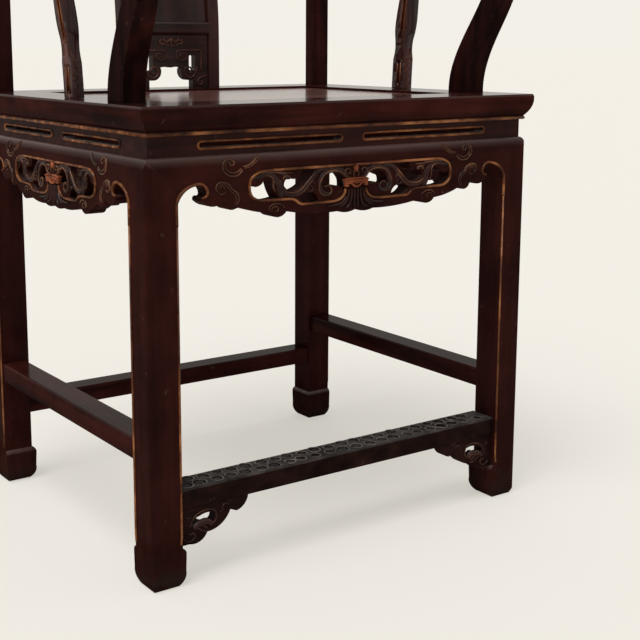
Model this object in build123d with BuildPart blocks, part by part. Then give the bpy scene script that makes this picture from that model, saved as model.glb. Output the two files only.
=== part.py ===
from build123d import *
import os
from math import asin, cos, degrees, radians, sin, sqrt

os.makedirs("parts", exist_ok=True)

# Horseshoe back armchair with a waisted seat frame, pierced aprons and a carved footrest.
# Millimetres. X runs across the chair, Y to its back and Z up. The origin is on the floor under
# the middle of the seat, and the horseshoe rail reaches as far forward of it as back.

# ---- seat frame, panel and the joints' clearance
seat_width = 548
seat_depth = 460
seat_height = 520
frame_thickness = 31
frame_width = 72
edge_fall = 26.7        # height of the curved outer edge
edge_inset = 8.8        # how far that curve runs in under the top
edge_belly = 1.4        # how far in it is half way down
edge_flat = 2.6         # upright strip at the top of the edge
bead_inset = 7.6        # face of the bead under the curve
panel_drop = 3          # panel's face below the frame's
panel_thickness = 12
tongue = 8
tongue_thickness = 6
batten_width = 30
batten_spread = 190     # between the middles of the two battens
fit = 0.15              # clearance on each side of a tenon or tongue

# ---- legs and feet
leg_width = 37.5
leg_inset = 6           # leg's outer faces inside the seat's edge
corner_round = 5
foot_height = 44
foot_swell = 4.6        # the foot's bulge on its two inner sides
foot_taper = 4.5        # the foot's outer faces draw in at the floor
foot_curve = 18
stub_tenon = 12         # leg's tenon up into the seat frame

# ---- waist and aprons
waist_height = 22
waist_inset = 12.5
waist_thickness = 13.5
slot_height = 5.4
slot_gap = 32           # wood left between the two slots of a waist board
slot_end = 61           # wood left outside them
apron_thickness = 20
apron_depth = 73
apron_tenon = 12
front_window = 144.5    # half the length of the pierced field
side_window = 112
front_bump = 107        # small lobe on the lower edge, from the middle
side_bump = 84
stem_half = 12          # half the width of the knotted stem in the middle

# ---- stretchers: (height of the top, thickness, depth, inset from the legs' outer faces)
footrest_top, footrest_thickness, footrest_depth, footrest_inset = 108, 23, 38.5, 4.2
side_top, side_thickness, side_depth, side_inset = 164.7, 24.3, 33, 0.6
rear_top, rear_thickness, rear_depth, rear_inset = 114.4, 23.5, 33, 3
stretcher_tenon = 18
tenon_thickness = 12
spandrel_length = 88
spandrel_height = 41
spandrel_thickness = 13

# ---- posts above the seat
rear_post = 27          # square section
rear_post_side = 10.3   # from the seat's side edge
rear_post_back = 20     # from its back edge
rear_post_round = 6
front_post_setback = 73
front_post_inset = 17.2
front_post_width = 27
front_post_depth = 35.4
front_reach = 43.5      # how far the front posts' middle has come forward at the rail
rear_reach = 10         # how far the rear posts lean back
rear_bend = 130         # upright part of the rear posts
side_post_y = -10.5
side_post_inset = 23.7
side_post_depth = 26
side_post_width = 13
post_tenon = 14
rail_tenon = 6          # radius of the round tenons into the rail

# ---- splat: two stiles with a lower carved piece, a plain panel and a crest between them
splat_width = 153.8
stile_width = 16.6
splat_thickness = 17
splat_setback = 27      # splat's middle plane, from the seat's back edge
splat_straight = 70     # upright part before it bends
splat_lean = 25.6
splat_top_lean = 8
splat_board = 9
cross_height = 19
lower_register = 72.4
splat_foot = 34.4       # half the opening at the splat's foot
panel_share = 0.58      # of the height above the lower cross rail

# ---- horseshoe rail, laid out in one sloping plane
rail_height = 965
rail_slope = 23
rail_radius = 17.5
rail_half_width = 272
rail_back_radius = 338
rail_shoulder_radius = 105
rail_converge = 3       # the arms draw together by this many degrees
rail_flare_radius = 140
rail_flare = 38
grip_radius = 21
grip_length = 16
lap_half = 42           # half the length of each lapped joint
lap_angle = 31          # where the back laps sit on the back arc
arm_lap = 95            # where the arm laps sit on the straight of the arm
pin_size = 7

# ---- places worked out from those sizes
half_width = seat_width / 2
half_depth = seat_depth / 2
frame_bottom = seat_height - frame_thickness
apron_top = frame_bottom - waist_height
apron_bottom = apron_top - apron_depth
leg_x = half_width - leg_inset
leg_y = half_depth - leg_inset
inner_x = leg_x - leg_width
inner_y = leg_y - leg_width
panel_top = seat_height - panel_drop
panel_bottom = panel_top - panel_thickness
opening_x = half_width - frame_width
opening_y = half_depth - frame_width

splat_y = half_depth - splat_setback
bend_z = seat_height + splat_straight
splat_bend = (rail_height - bend_z) / (2 * sin(radians(splat_lean)) - sin(radians(splat_top_lean)))
rail_back_y = splat_y + splat_bend * (1 - 2 * cos(radians(splat_lean)) + cos(radians(splat_top_lean)))

slope = radians(rail_slope)
rail_plane = Plane(origin=(0, rail_back_y, rail_height), x_dir=(1, 0, 0), z_dir=(0, -sin(slope), cos(slope)))
back_turn = asin((rail_half_width - rail_shoulder_radius) / (rail_back_radius - rail_shoulder_radius))
shoulder_x = (rail_back_radius - rail_shoulder_radius) * sin(back_turn)
shoulder_v = -rail_back_radius + (rail_back_radius - rail_shoulder_radius) * cos(back_turn)
converge = radians(rail_converge)
flare_end = radians(rail_flare) - converge
arm_x = shoulder_x + rail_shoulder_radius * cos(converge)
arm_v = shoulder_v - rail_shoulder_radius * sin(converge)
grip_y = grip_radius - rail_back_y - rail_radius
grip_v = (grip_y - rail_back_y) / cos(slope)
arm_length = (
    arm_v - rail_flare_radius * (sin(flare_end) + sin(converge)) - grip_length * cos(flare_end) - grip_v
) / cos(converge)


def save(piece, name):
    piece.part.label = name
    export_step(piece.part, f"parts/{name}.step")


def mirrored(piece, name):
    """The piece's twin on the right-hand side."""
    with BuildPart() as twin:
        mirror(piece.part, about=Plane.YZ)
    save(twin, name)
    return twin


# ================================================= legs, aprons and waist
# One rounded block gives the corners of the base; legs and aprons are cut out of it, so their
# mitred shoulders stay flush.
with BuildPart() as base_block:
    with BuildSketch():
        RectangleRounded(2 * leg_x, 2 * leg_y, corner_round)
    extrude(amount=apron_top)
    fillet(base_block.faces().sort_by(Axis.Z)[-1].edges(), corner_round * 0.98)


def leg_outline(outer, sign):
    """One elevation of a leg with its foot; outer is the outer face, sign points outwards."""
    inner = outer - sign * leg_width
    with BuildSketch() as outline:
        with BuildLine():
            toe = ThreePointArc(
                (outer - sign * foot_taper, 0),
                (outer - sign * foot_taper * 0.3, foot_curve * 0.4),
                (outer, foot_curve),
            )
            Line(toe @ 1, (outer, apron_top))
            Line((outer, apron_top), (inner, apron_top))
            Line((inner, apron_top), (inner, foot_height))
            step = ThreePointArc(
                (inner, foot_height),
                (inner - sign * foot_swell * 0.75, foot_height - 2.6),
                (inner - sign * foot_swell, foot_height - 7),
            )
            side = Line(step @ 1, (inner - sign * (foot_swell - 0.7), foot_curve))
            heel = ThreePointArc(
                side @ 1, (inner - sign * foot_swell * 0.45, foot_curve * 0.35), (inner + sign * 3, 0)
            )
            Line(heel @ 1, toe @ 0)
        make_face()
    return outline.sketch


def shoulder(outer, sign):
    """Triangle that the apron's mitre takes out of a leg's face."""
    with BuildSketch() as triangle:
        with BuildLine():
            Polyline(
                (outer, apron_top),
                (outer - sign * leg_width, apron_top),
                (outer - sign * leg_width, apron_top - leg_width),
                close=True,
            )
        make_face()
    return triangle.sketch


stub = leg_width - apron_thickness
tenon_z = apron_bottom + 36
tenon_rise = 18
tenon_inset = 12        # middle of an apron's tenon behind its face
apron_tongue = 8

corners = ((-1, -1, "front_left"), (1, -1, "front_right"), (-1, 1, "rear_left"), (1, 1, "rear_right"))
for sx, sy, name in corners:
    core_x = sx * (inner_x + stub / 2)
    core_y = sy * (inner_y + stub / 2)
    with BuildPart() as leg:
        with BuildSketch(Plane.XZ.offset(-sy * leg_y)):
            add(leg_outline(sx * leg_x, sx))
        extrude(amount=sy * (leg_width + foot_swell))
        with BuildSketch(Plane.YZ.offset(sx * leg_x)):
            add(leg_outline(sy * leg_y, sy))
        extrude(amount=-sx * (leg_width + foot_swell), mode=Mode.INTERSECT)
        add(base_block.part, mode=Mode.INTERSECT)
        with BuildSketch(Plane.XZ.offset(-sy * leg_y)):
            add(shoulder(sx * leg_x, sx))
        extrude(amount=sy * apron_thickness, mode=Mode.SUBTRACT)
        with BuildSketch(Plane.YZ.offset(sx * leg_x)):
            add(shoulder(sy * leg_y, sy))
        extrude(amount=-sx * apron_thickness, mode=Mode.SUBTRACT)
        # core that rises behind the waist and tenons into the seat frame
        with BuildSketch(Plane.XY.offset(apron_top)):
            with Locations((core_x, core_y)):
                Rectangle(stub, stub)
        extrude(amount=waist_height)
        with BuildSketch(Plane.XY.offset(frame_bottom)):
            with Locations((core_x, core_y)):
                Rectangle(stub - 3, stub - 3)
        extrude(amount=stub_tenon)
        # mortises for the aprons' tenons
        with Locations((sx * (inner_x + apron_tenon / 2), sy * (leg_y - tenon_inset), tenon_z)):
            Box(apron_tenon + 2 * fit, apron_tongue + 2 * fit, tenon_rise + 2 * fit, mode=Mode.SUBTRACT)
        with Locations((sx * (leg_x - tenon_inset), sy * (inner_y + apron_tenon / 2), tenon_z)):
            Box(apron_tongue + 2 * fit, apron_tenon + 2 * fit, tenon_rise + 2 * fit, mode=Mode.SUBTRACT)
        # mortises for the stretchers
        if sy < 0:
            bar = (footrest_top - footrest_thickness / 2, footrest_thickness, footrest_depth, footrest_inset)
        else:
            bar = (rear_top - rear_thickness / 2, rear_thickness, rear_depth, rear_inset)
        with Locations((sx * (inner_x + stretcher_tenon / 2), sy * (leg_y - bar[3] - bar[2] / 2), bar[0])):
            Box(
                stretcher_tenon + 2 * fit,
                tenon_thickness + 2 * fit,
                bar[1] - 6 + 2 * fit,
                mode=Mode.SUBTRACT,
            )
        side_x = sx * (leg_x - side_inset - side_depth / 2)
        with Locations((side_x, sy * (inner_y + stretcher_tenon / 2), side_top - side_thickness / 2)):
            Box(
                tenon_thickness + 2 * fit,
                stretcher_tenon + 2 * fit,
                side_thickness - 6 + 2 * fit,
                mode=Mode.SUBTRACT,
            )
    save(leg, f"leg_{name}")


def apron_outline(half, bump):
    """Face of a carved apron between legs that stand half a span each side of the middle."""
    low = apron_bottom
    with BuildSketch() as face:
        with BuildLine() as edge:
            ThreePointArc((half, low + 24), (half - 9, low + 37), (half - 24.5, low + 42.5))
            ThreePointArc((half - 24.5, low + 42.5), (half - 33, low + 39.2), (half - 35.5, low + 33))
            ThreePointArc((half - 35.5, low + 33), (half - 34.4, low + 30.4), (half - 31.5, low + 30.4))
            ThreePointArc((half - 31.5, low + 30.4), (half - 28.4, low + 27.6), (half - 30.6, low + 24))
            ThreePointArc((half - 30.6, low + 24), (half - 39.5, low + 19.6), (half - 50, low + 21))
            Line((half - 50, low + 21), (half - 55.5, low + 24))
            ThreePointArc((half - 55.5, low + 24), (half - 60, low + 15.8), (half - 68, low + 14.6))
            Line((half - 68, low + 14.6), (half - 75, low + 16.5))
            ThreePointArc(
                (half - 75, low + 16.5),
                ((half - 75 + bump + 11) / 2, low + 10.4),
                (bump + 11, low + 7.6),
            )
            ThreePointArc((bump + 11, low + 7.6), (bump + 1, low + 1.8), (bump - 12, low + 7.2))
            ThreePointArc((bump - 12, low + 7.2), ((bump + 13) / 2 + 6, low + 3), (25, low + 2))
            ThreePointArc((25, low + 2), (12, low), (0, low + 2.6))
            Line((half, low + 24), (half, apron_top - leg_width))
            Line((half, apron_top - leg_width), (half + leg_width, apron_top))
            Line((half + leg_width, apron_top), (0, apron_top))
            mirror(edge.line, about=Plane.YZ)
        make_face()
    return face.sketch


def arc_chain(points):
    """Closed outline of arcs, each through three points in turn."""
    closed = points + points[:1]
    with BuildLine() as chain:
        for first in range(0, len(points), 2):
            ThreePointArc(*closed[first : first + 3])
    return chain.line


def openwork(window):
    """Gaps between the scrolls of one half of a pierced field that ends at window."""
    low = apron_bottom
    stretch = (window - stem_half) / (front_window - stem_half)
    # around the large volute beside the knot
    volute_gap = [
        (12, 35), (19.5, 44), (29.4, 46.2), (41.5, 42), (46.4, 32.6), (44.6, 28.4), (40.5, 28.2),
        (26, 31.2), (17.6, 27.4), (15.8, 22.6), (13, 21.6), (11.8, 27.6),
    ]
    # leaf-shaped gap under the tendril
    leaf_gap = [(52, 15.5), (53.6, 21.5), (59.5, 26), (71, 26.4), (79, 21.5), (69.5, 14.6)]
    # hooked gap between the tendril and the second volute
    hook_gap = [
        (58.4, 50.5), (66.2, 36.5), (77, 30), (89.5, 29), (98.2, 35.5), (96, 41.8), (90, 43.8),
        (84.5, 42.2), (80.5, 44.6), (80, 48), (77, 51.5), (67, 54.4),
    ]
    # long gap at the window's rounded end
    end_gap = [
        (142.4, 37.6), (139, 38.4), (135.5, 36.6), (129.5, 38), (124, 43.3), (118, 44.6), (112.4, 40.5),
        (109.8, 31.5), (104.8, 22.2), (118, 20.6), (131.5, 21.6), (141.4, 28.4),
    ]
    with BuildSketch() as gaps:
        for gap in (volute_gap, leaf_gap, hook_gap, end_gap):
            make_face(arc_chain([(stem_half + (x - stem_half) * stretch, low + z) for x, z in gap]).edges())
    return gaps.sketch


def plain_apron_outline(half):
    """The rear apron has no carving: a flat arch between two small shoulders."""
    low = apron_bottom + 12
    with BuildSketch() as face:
        with BuildLine() as edge:
            ThreePointArc((half, low - 8), (half - 7, low + 5), (half - 20, low + 10))
            ThreePointArc((half - 20, low + 10), (half - 60, low + 7), (half - 100, low))
            Line((half - 100, low), (0, low))
            Line((half, low - 8), (half, apron_top - leg_width))
            Line((half, apron_top - leg_width), (half + leg_width, apron_top))
            Line((half + leg_width, apron_top), (0, apron_top))
            mirror(edge.line, about=Plane.YZ)
        make_face()
    return face.sketch


def corner_mitre(outer_half, outer_face, sign, thickness, across):
    """Plan of a board whose ends are mitred at 45 degrees; sign points outwards."""
    inner_half = outer_half - thickness
    inner_face = outer_face - sign * thickness
    ends = [
        (-outer_half, outer_face),
        (outer_half, outer_face),
        (inner_half, inner_face),
        (-inner_half, inner_face),
    ]
    if not across:
        ends = [(y, x) for x, y in ends]
    with BuildSketch() as plan:
        with BuildLine():
            Polyline(*ends, close=True)
        make_face()
    return plan.sketch


for sy, name in ((-1, "front"), (1, "rear")):
    with BuildPart() as apron:
        with BuildSketch(Plane.XZ.offset(-sy * leg_y)):
            if sy < 0:
                add(apron_outline(inner_x, front_bump))
                add(openwork(front_window), mode=Mode.SUBTRACT)
                mirror(openwork(front_window), about=Plane.YZ, mode=Mode.SUBTRACT)
            else:
                add(plain_apron_outline(inner_x))
        extrude(amount=sy * apron_thickness)
        with BuildSketch():
            add(corner_mitre(leg_x, sy * leg_y, sy, apron_thickness, True))
        extrude(amount=apron_top, mode=Mode.INTERSECT)
        add(base_block.part, mode=Mode.INTERSECT)
        with Locations(
            (inner_x + apron_tenon / 2, sy * (leg_y - tenon_inset), tenon_z),
            (-inner_x - apron_tenon / 2, sy * (leg_y - tenon_inset), tenon_z),
        ):
            Box(apron_tenon, apron_tongue, tenon_rise)
    save(apron, f"apron_{name}")

    with BuildPart() as waist:
        with BuildSketch(Plane.XY.offset(apron_top)):
            add(corner_mitre(half_width - waist_inset, sy * (half_depth - waist_inset), sy, waist_thickness, True))
        extrude(amount=waist_height)
        slot_length = half_width - waist_inset - slot_end - slot_gap / 2
        with BuildSketch(Plane.XZ.offset(-sy * (half_depth - waist_inset))):
            with Locations((0, apron_top + waist_height / 2)):
                with GridLocations(slot_length + slot_gap, 0, 2, 1):
                    SlotOverall(slot_length, slot_height)
        extrude(amount=sy * waist_thickness, mode=Mode.SUBTRACT)
    save(waist, f"waist_{name}")

for sx, name in ((-1, "left"), (1, "right")):
    with BuildPart() as apron:
        with BuildSketch(Plane.YZ.offset(sx * leg_x)):
            add(apron_outline(inner_y, side_bump))
            add(openwork(side_window), mode=Mode.SUBTRACT)
            mirror(openwork(side_window), about=Plane.YZ, mode=Mode.SUBTRACT)
        extrude(amount=-sx * apron_thickness)
        with BuildSketch():
            add(corner_mitre(leg_y, sx * leg_x, sx, apron_thickness, False))
        extrude(amount=apron_top, mode=Mode.INTERSECT)
        add(base_block.part, mode=Mode.INTERSECT)
        with Locations(
            (sx * (leg_x - tenon_inset), inner_y + apron_tenon / 2, tenon_z),
            (sx * (leg_x - tenon_inset), -inner_y - apron_tenon / 2, tenon_z),
        ):
            Box(apron_tongue, apron_tenon, tenon_rise)
    save(apron, f"apron_{name}")

    with BuildPart() as waist:
        with BuildSketch(Plane.XY.offset(apron_top)):
            add(corner_mitre(half_depth - waist_inset, sx * (half_width - waist_inset), sx, waist_thickness, False))
        extrude(amount=waist_height)
        slot_length = half_depth - waist_inset - slot_end - slot_gap / 2
        with BuildSketch(Plane.YZ.offset(sx * (half_width - waist_inset))):
            with Locations((0, apron_top + waist_height / 2)):
                with GridLocations(slot_length + slot_gap, 0, 2, 1):
                    SlotOverall(slot_length, slot_height)
        extrude(amount=-sx * waist_thickness, mode=Mode.SUBTRACT)
    save(waist, f"waist_{name}")

# ================================================= seat frame
groove_z = panel_bottom + tongue_thickness / 2     # middle of the panel's tongue
frame_tenon_inset = 57
frame_tenon_width = 20
frame_tenon_end = 14
frame_tenon_z = frame_bottom + 8
batten_tenon = 12
batten_height = panel_bottom - frame_bottom
batten_tenon_height = 8


def rail_profile(outer, sign):
    """Section of a seat rail: curved edge, bead, underside and the groove for the panel."""
    inner = outer - sign * frame_width
    curve_end = seat_height - edge_fall
    with BuildSketch() as section:
        with BuildLine():
            Line((inner, seat_height), (outer - sign * 1.2, seat_height))
            Line((outer - sign * 1.2, seat_height), (outer, seat_height - edge_flat))
            ThreePointArc(
                (outer, seat_height - edge_flat),
                (outer - sign * edge_belly, seat_height - (edge_flat + edge_fall) / 2),
                (outer - sign * edge_inset, curve_end),
            )
            Line((outer - sign * edge_inset, curve_end), (outer - sign * (bead_inset + 1), curve_end - 0.6))
            ThreePointArc(
                (outer - sign * (bead_inset + 1), curve_end - 0.6),
                (outer - sign * bead_inset, (curve_end - 0.6 + frame_bottom) / 2),
                (outer - sign * (bead_inset + 1), frame_bottom),
            )
            Line((outer - sign * (bead_inset + 1), frame_bottom), (inner, frame_bottom))
            Line((inner, frame_bottom), (inner, seat_height))
        make_face()
        with Locations((inner + sign * tongue / 2, groove_z)):
            Rectangle(tongue + 2 * fit, tongue_thickness + 2 * fit, mode=Mode.SUBTRACT)
    return section.sketch


post_y = half_depth - rear_post_back - rear_post / 2
post_x = half_width - rear_post_side - rear_post / 2
front_post_x = half_width - front_post_inset - front_post_width / 2
front_post_y = -half_depth + front_post_setback + front_post_depth / 2
side_post_x = half_width - side_post_inset - side_post_width / 2
stile_x = (splat_width - stile_width) / 2

for sy, name in ((-1, "front"), (1, "rear")):
    with BuildPart() as seat_rail:
        with BuildSketch(Plane.YZ.offset(-half_width)):
            add(rail_profile(sy * half_depth, sy))
        extrude(amount=seat_width)
        with BuildSketch():
            add(corner_mitre(half_width, sy * half_depth, sy, frame_width, True))
        extrude(amount=seat_height, mode=Mode.INTERSECT)
        # tenons through the mitres into the side rails
        tenon_length = frame_width - frame_tenon_end
        with Locations(
            (half_width - frame_tenon_end - tenon_length / 2, sy * (half_depth - frame_tenon_inset), frame_tenon_z),
            (-half_width + frame_tenon_end + tenon_length / 2, sy * (half_depth - frame_tenon_inset), frame_tenon_z),
        ):
            Box(tenon_length, frame_tenon_width, 10)
        # mortises for the battens
        with Locations(
            (batten_spread / 2, sy * (opening_y + batten_tenon / 2), frame_bottom + batten_height / 2),
            (-batten_spread / 2, sy * (opening_y + batten_tenon / 2), frame_bottom + batten_height / 2),
        ):
            Box(
                batten_width - 8 + 2 * fit,
                batten_tenon + 2 * fit,
                batten_tenon_height + 2 * fit,
                mode=Mode.SUBTRACT,
            )
        # sockets for the legs' stubs
        with Locations(
            (inner_x + stub / 2, sy * (inner_y + stub / 2), frame_bottom),
            (-inner_x - stub / 2, sy * (inner_y + stub / 2), frame_bottom),
        ):
            Box(
                stub - 3 + 2 * fit,
                stub - 3 + 2 * fit,
                stub_tenon + fit,
                align=(Align.CENTER, Align.CENTER, Align.MIN),
                mode=Mode.SUBTRACT,
            )
        if sy > 0:
            with Locations((0, 0, seat_height)):
                with Locations((post_x, post_y), (-post_x, post_y)):
                    Box(
                        post_tenon + 2 * fit,
                        post_tenon + 2 * fit,
                        post_tenon + fit,
                        align=(Align.CENTER, Align.CENTER, Align.MAX),
                        mode=Mode.SUBTRACT,
                    )
                with Locations((stile_x, splat_y), (-stile_x, splat_y)):
                    Box(
                        stile_width - 6 + 2 * fit,
                        splat_board + 2 * fit,
                        post_tenon + fit,
                        align=(Align.CENTER, Align.CENTER, Align.MAX),
                        mode=Mode.SUBTRACT,
                    )
    save(seat_rail, f"seat_rail_{name}")

for sx, name in ((-1, "left"), (1, "right")):
    with BuildPart() as seat_rail:
        with BuildSketch(Plane.XZ.offset(-half_depth)):
            add(rail_profile(sx * half_width, sx))
        extrude(amount=seat_depth)
        with BuildSketch():
            add(corner_mitre(half_depth, sx * half_width, sx, frame_width, False))
        extrude(amount=seat_height, mode=Mode.INTERSECT)
        tenon_length = frame_width - frame_tenon_end
        tenon_middle = sx * (half_width - frame_tenon_end - tenon_length / 2)
        with Locations(
            (tenon_middle, half_depth - frame_tenon_inset, frame_tenon_z),
            (tenon_middle, -half_depth + frame_tenon_inset, frame_tenon_z),
        ):
            Box(tenon_length + 2 * fit, frame_tenon_width + 2 * fit, 10 + 2 * fit, mode=Mode.SUBTRACT)
        with Locations(
            (sx * (inner_x + stub / 2), inner_y + stub / 2, frame_bottom),
            (sx * (inner_x + stub / 2), -inner_y - stub / 2, frame_bottom),
        ):
            Box(
                stub - 3 + 2 * fit,
                stub - 3 + 2 * fit,
                stub_tenon + fit,
                align=(Align.CENTER, Align.CENTER, Align.MIN),
                mode=Mode.SUBTRACT,
            )
        with Locations((sx * post_x, post_y, seat_height), (sx * front_post_x, front_post_y, seat_height)):
            Box(
                post_tenon + 2 * fit,
                post_tenon + 2 * fit,
                post_tenon + fit,
                align=(Align.CENTER, Align.CENTER, Align.MAX),
                mode=Mode.SUBTRACT,
            )
        with Locations((sx * side_post_x, side_post_y, seat_height)):
            Box(
                side_post_width - 5 + 2 * fit,
                side_post_depth - 10 + 2 * fit,
                post_tenon + fit,
                align=(Align.CENTER, Align.CENTER, Align.MAX),
                mode=Mode.SUBTRACT,
            )
    save(seat_rail, f"seat_rail_{name}")

dovetail = 4


def dovetail_section(middle, play):
    """Section of the sliding dovetail between a batten and the panel."""
    foot = batten_width / 2 - 5 - play
    head = batten_width / 2 - 3 - play
    with BuildSketch() as section:
        with BuildLine():
            Polyline(
                (middle - foot, panel_bottom),
                (middle + foot, panel_bottom),
                (middle + head, panel_bottom + dovetail - play),
                (middle - head, panel_bottom + dovetail - play),
                close=True,
            )
        make_face()
    return section.sketch


with BuildPart() as seat_panel:
    with BuildSketch(Plane.XY.offset(panel_bottom)):
        Rectangle(2 * (opening_x - fit), 2 * (opening_y - fit))
    extrude(amount=panel_thickness)
    with BuildSketch(Plane.XY.offset(panel_bottom)):
        Rectangle(2 * (opening_x + tongue - fit), 2 * (opening_y + tongue - fit))
    extrude(amount=tongue_thickness)
    with BuildSketch(Plane.XZ.offset(-opening_y - tongue)):
        add(dovetail_section(-batten_spread / 2, 0))
        add(dovetail_section(batten_spread / 2, 0))
    extrude(amount=2 * (opening_y + tongue), mode=Mode.SUBTRACT)
save(seat_panel, "seat_panel")

for sx, name in ((-1, "left"), (1, "right")):
    batten_x = sx * batten_spread / 2
    with BuildPart() as batten:
        with Locations((batten_x, 0, frame_bottom)):
            Box(
                batten_width,
                2 * opening_y,
                batten_height,
                align=(Align.CENTER, Align.CENTER, Align.MIN),
            )
        with Locations((batten_x, 0, frame_bottom + batten_height / 2)):
            Box(batten_width - 8, 2 * (opening_y + batten_tenon), batten_tenon_height)
        with BuildSketch(Plane.XZ.offset(-opening_y)):
            add(dovetail_section(batten_x, fit))
        extrude(amount=2 * opening_y)
    save(batten, f"batten_{name}")

# ================================================= stretchers and footrest
cross_bars = (
    ("footrest", -1, footrest_top, footrest_thickness, footrest_depth, footrest_inset),
    ("stretcher_rear", 1, rear_top, rear_thickness, rear_depth, rear_inset),
)
for name, sy, top, thickness, depth, inset in cross_bars:
    middle_y = sy * (leg_y - inset - depth / 2)
    with BuildPart() as stretcher:
        with BuildSketch(Plane.YZ.offset(-inner_x)):
            with Locations((middle_y, top - thickness / 2)):
                RectangleRounded(depth, thickness, 2.5)
        extrude(amount=2 * inner_x)
        with Locations((0, middle_y, top - thickness / 2)):
            Box(2 * (inner_x + stretcher_tenon), tenon_thickness, thickness - 6)
    save(stretcher, name)

for sx, name in ((-1, "left"), (1, "right")):
    middle_x = sx * (leg_x - side_inset - side_depth / 2)
    with BuildPart() as stretcher:
        with BuildSketch(Plane.XZ.offset(-inner_y)):
            with Locations((middle_x, side_top - side_thickness / 2)):
                RectangleRounded(side_depth, side_thickness, 2.5)
        extrude(amount=2 * inner_y)
        with Locations((middle_x, 0, side_top - side_thickness / 2)):
            Box(tenon_thickness, 2 * (inner_y + stretcher_tenon), side_thickness - 6)
    save(stretcher, f"stretcher_{name}")

# brackets under the footrest: lobed lower edge and a crescent cut between two scrolls
spandrel_top = footrest_top - footrest_thickness
spandrel_face = leg_y - footrest_inset - 2
corner = -inner_x
with BuildPart() as spandrel_left:
    with BuildSketch(Plane.XZ.offset(spandrel_face)):
        with BuildLine(Plane((corner, spandrel_top))):
            Line((0, 0), (spandrel_length, 0))
            ThreePointArc((spandrel_length, 0), (spandrel_length - 7, -12), (spandrel_length - 15.5, -15.7))
            Line((spandrel_length - 15.5, -15.7), (spandrel_length - 23.5, -12.2))
            ThreePointArc((spandrel_length - 23.5, -12.2), (52, -26.8), (34.6, -31.6))
            ThreePointArc((34.6, -31.6), (28.5, -38.8), (12, -spandrel_height))
            Line((12, -spandrel_height), (0, -spandrel_height))
            Line((0, -spandrel_height), (0, 0))
        make_face()
        crescent = [
            (15.7, -24), (16.6, -17), (25, -11.2), (35, -9.2), (43, -10.6), (45, -16),
            (39.5, -22.3), (33.5, -21.6), (28.5, -19.2), (24, -20), (19.5, -23.8), (17.6, -25),
        ]
        make_face(arc_chain([(corner + x, spandrel_top + z) for x, z in crescent]).edges(), mode=Mode.SUBTRACT)
    extrude(amount=-spandrel_thickness)
save(spandrel_left, "spandrel_left")
mirrored(spandrel_left, "spandrel_right")

# ================================================= horseshoe rail
back_angle = 90 - degrees(back_turn)


def arc_plane(angle):
    """Frame on the back arc: X along the rail away from the back, Z square to the rail's plane."""
    spot = (
        rail_back_radius * cos(radians(angle)),
        -rail_back_radius + rail_back_radius * sin(radians(angle)),
    )
    heading = (sin(radians(angle)), -cos(radians(angle)))
    return lap_plane(spot, heading)


def arm_plane(distance):
    """The same kind of frame on the straight of the right arm."""
    spot = (arm_x - distance * sin(converge), arm_v - distance * cos(converge))
    return lap_plane(spot, (-sin(converge), -cos(converge)))


def lap_plane(spot, heading):
    origin = rail_plane.from_local_coords(Vector(spot[0], spot[1], 0))
    along = rail_plane.from_local_coords(Vector(spot[0] + heading[0], spot[1] + heading[1], 0)) - origin
    return Plane(origin=origin, x_dir=along, z_dir=rail_plane.z_dir)


def tube(path):
    """Round rail along a path."""
    with BuildPart() as swept:
        with BuildSketch(Plane(origin=path @ 0, z_dir=path % 0)):
            Circle(rail_radius)
        sweep(path=path)
    return swept.part


# the right half of the rail: back arc, tight shoulder, straight arm and outward flare
arm_end = (arm_x - arm_length * sin(converge), arm_v - arm_length * cos(converge))
with BuildLine(rail_plane) as half_line:
    CenterArc((0, -rail_back_radius), rail_back_radius, 90, back_angle - 90)
    CenterArc((shoulder_x, shoulder_v), rail_shoulder_radius, back_angle, -(back_angle + rail_converge))
    Line((arm_x, arm_v), arm_end)
    CenterArc(
        (arm_end[0] + rail_flare_radius * cos(converge), arm_end[1] - rail_flare_radius * sin(converge)),
        rail_flare_radius,
        180 - rail_converge,
        rail_flare,
    )
half_path = half_line.wires()[0]
half_run = tube(half_path)

back_lap = arc_plane(90 - lap_angle)
arm_lap_plane = arm_plane(arm_lap)
pin_hole = pin_size + 2 * fit


def lap_cut(plane, keeps_top, beyond):
    """What a rail loses at a lap: half its thickness there, and all that runs on beyond it."""
    half_side = Align.MAX if keeps_top else Align.MIN
    run_on = Align.MIN if beyond > 0 else Align.MAX
    with BuildPart(plane) as cut:
        Box(2 * lap_half, 4 * rail_radius, 2 * rail_radius, align=(Align.CENTER, Align.CENTER, half_side))
        with Locations((beyond * lap_half, 0, 0)):
            Box(3 * seat_width, 3 * seat_width, 200, align=(run_on, Align.CENTER, Align.CENTER))
        Box(pin_hole, 2 * rail_radius - 1 + 2 * fit, pin_hole)
    return cut.part


lap_turn = degrees((lap_half + 2) / rail_back_radius)
with BuildLine(rail_plane) as back_line:
    CenterArc(
        (0, -rail_back_radius), rail_back_radius, 90 + lap_angle + lap_turn, -2 * (lap_angle + lap_turn)
    )
with BuildPart() as rail_back:
    add(tube(back_line.wires()[0]))
    add(lap_cut(back_lap, True, 1), mode=Mode.SUBTRACT)
    mirror(lap_cut(back_lap, True, 1), about=Plane.YZ, mode=Mode.SUBTRACT)

with BuildPart() as rail_shoulder:
    add(half_run)
    add(lap_cut(back_lap, False, -1), mode=Mode.SUBTRACT)
    add(lap_cut(arm_lap_plane, True, 1), mode=Mode.SUBTRACT)

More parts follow.
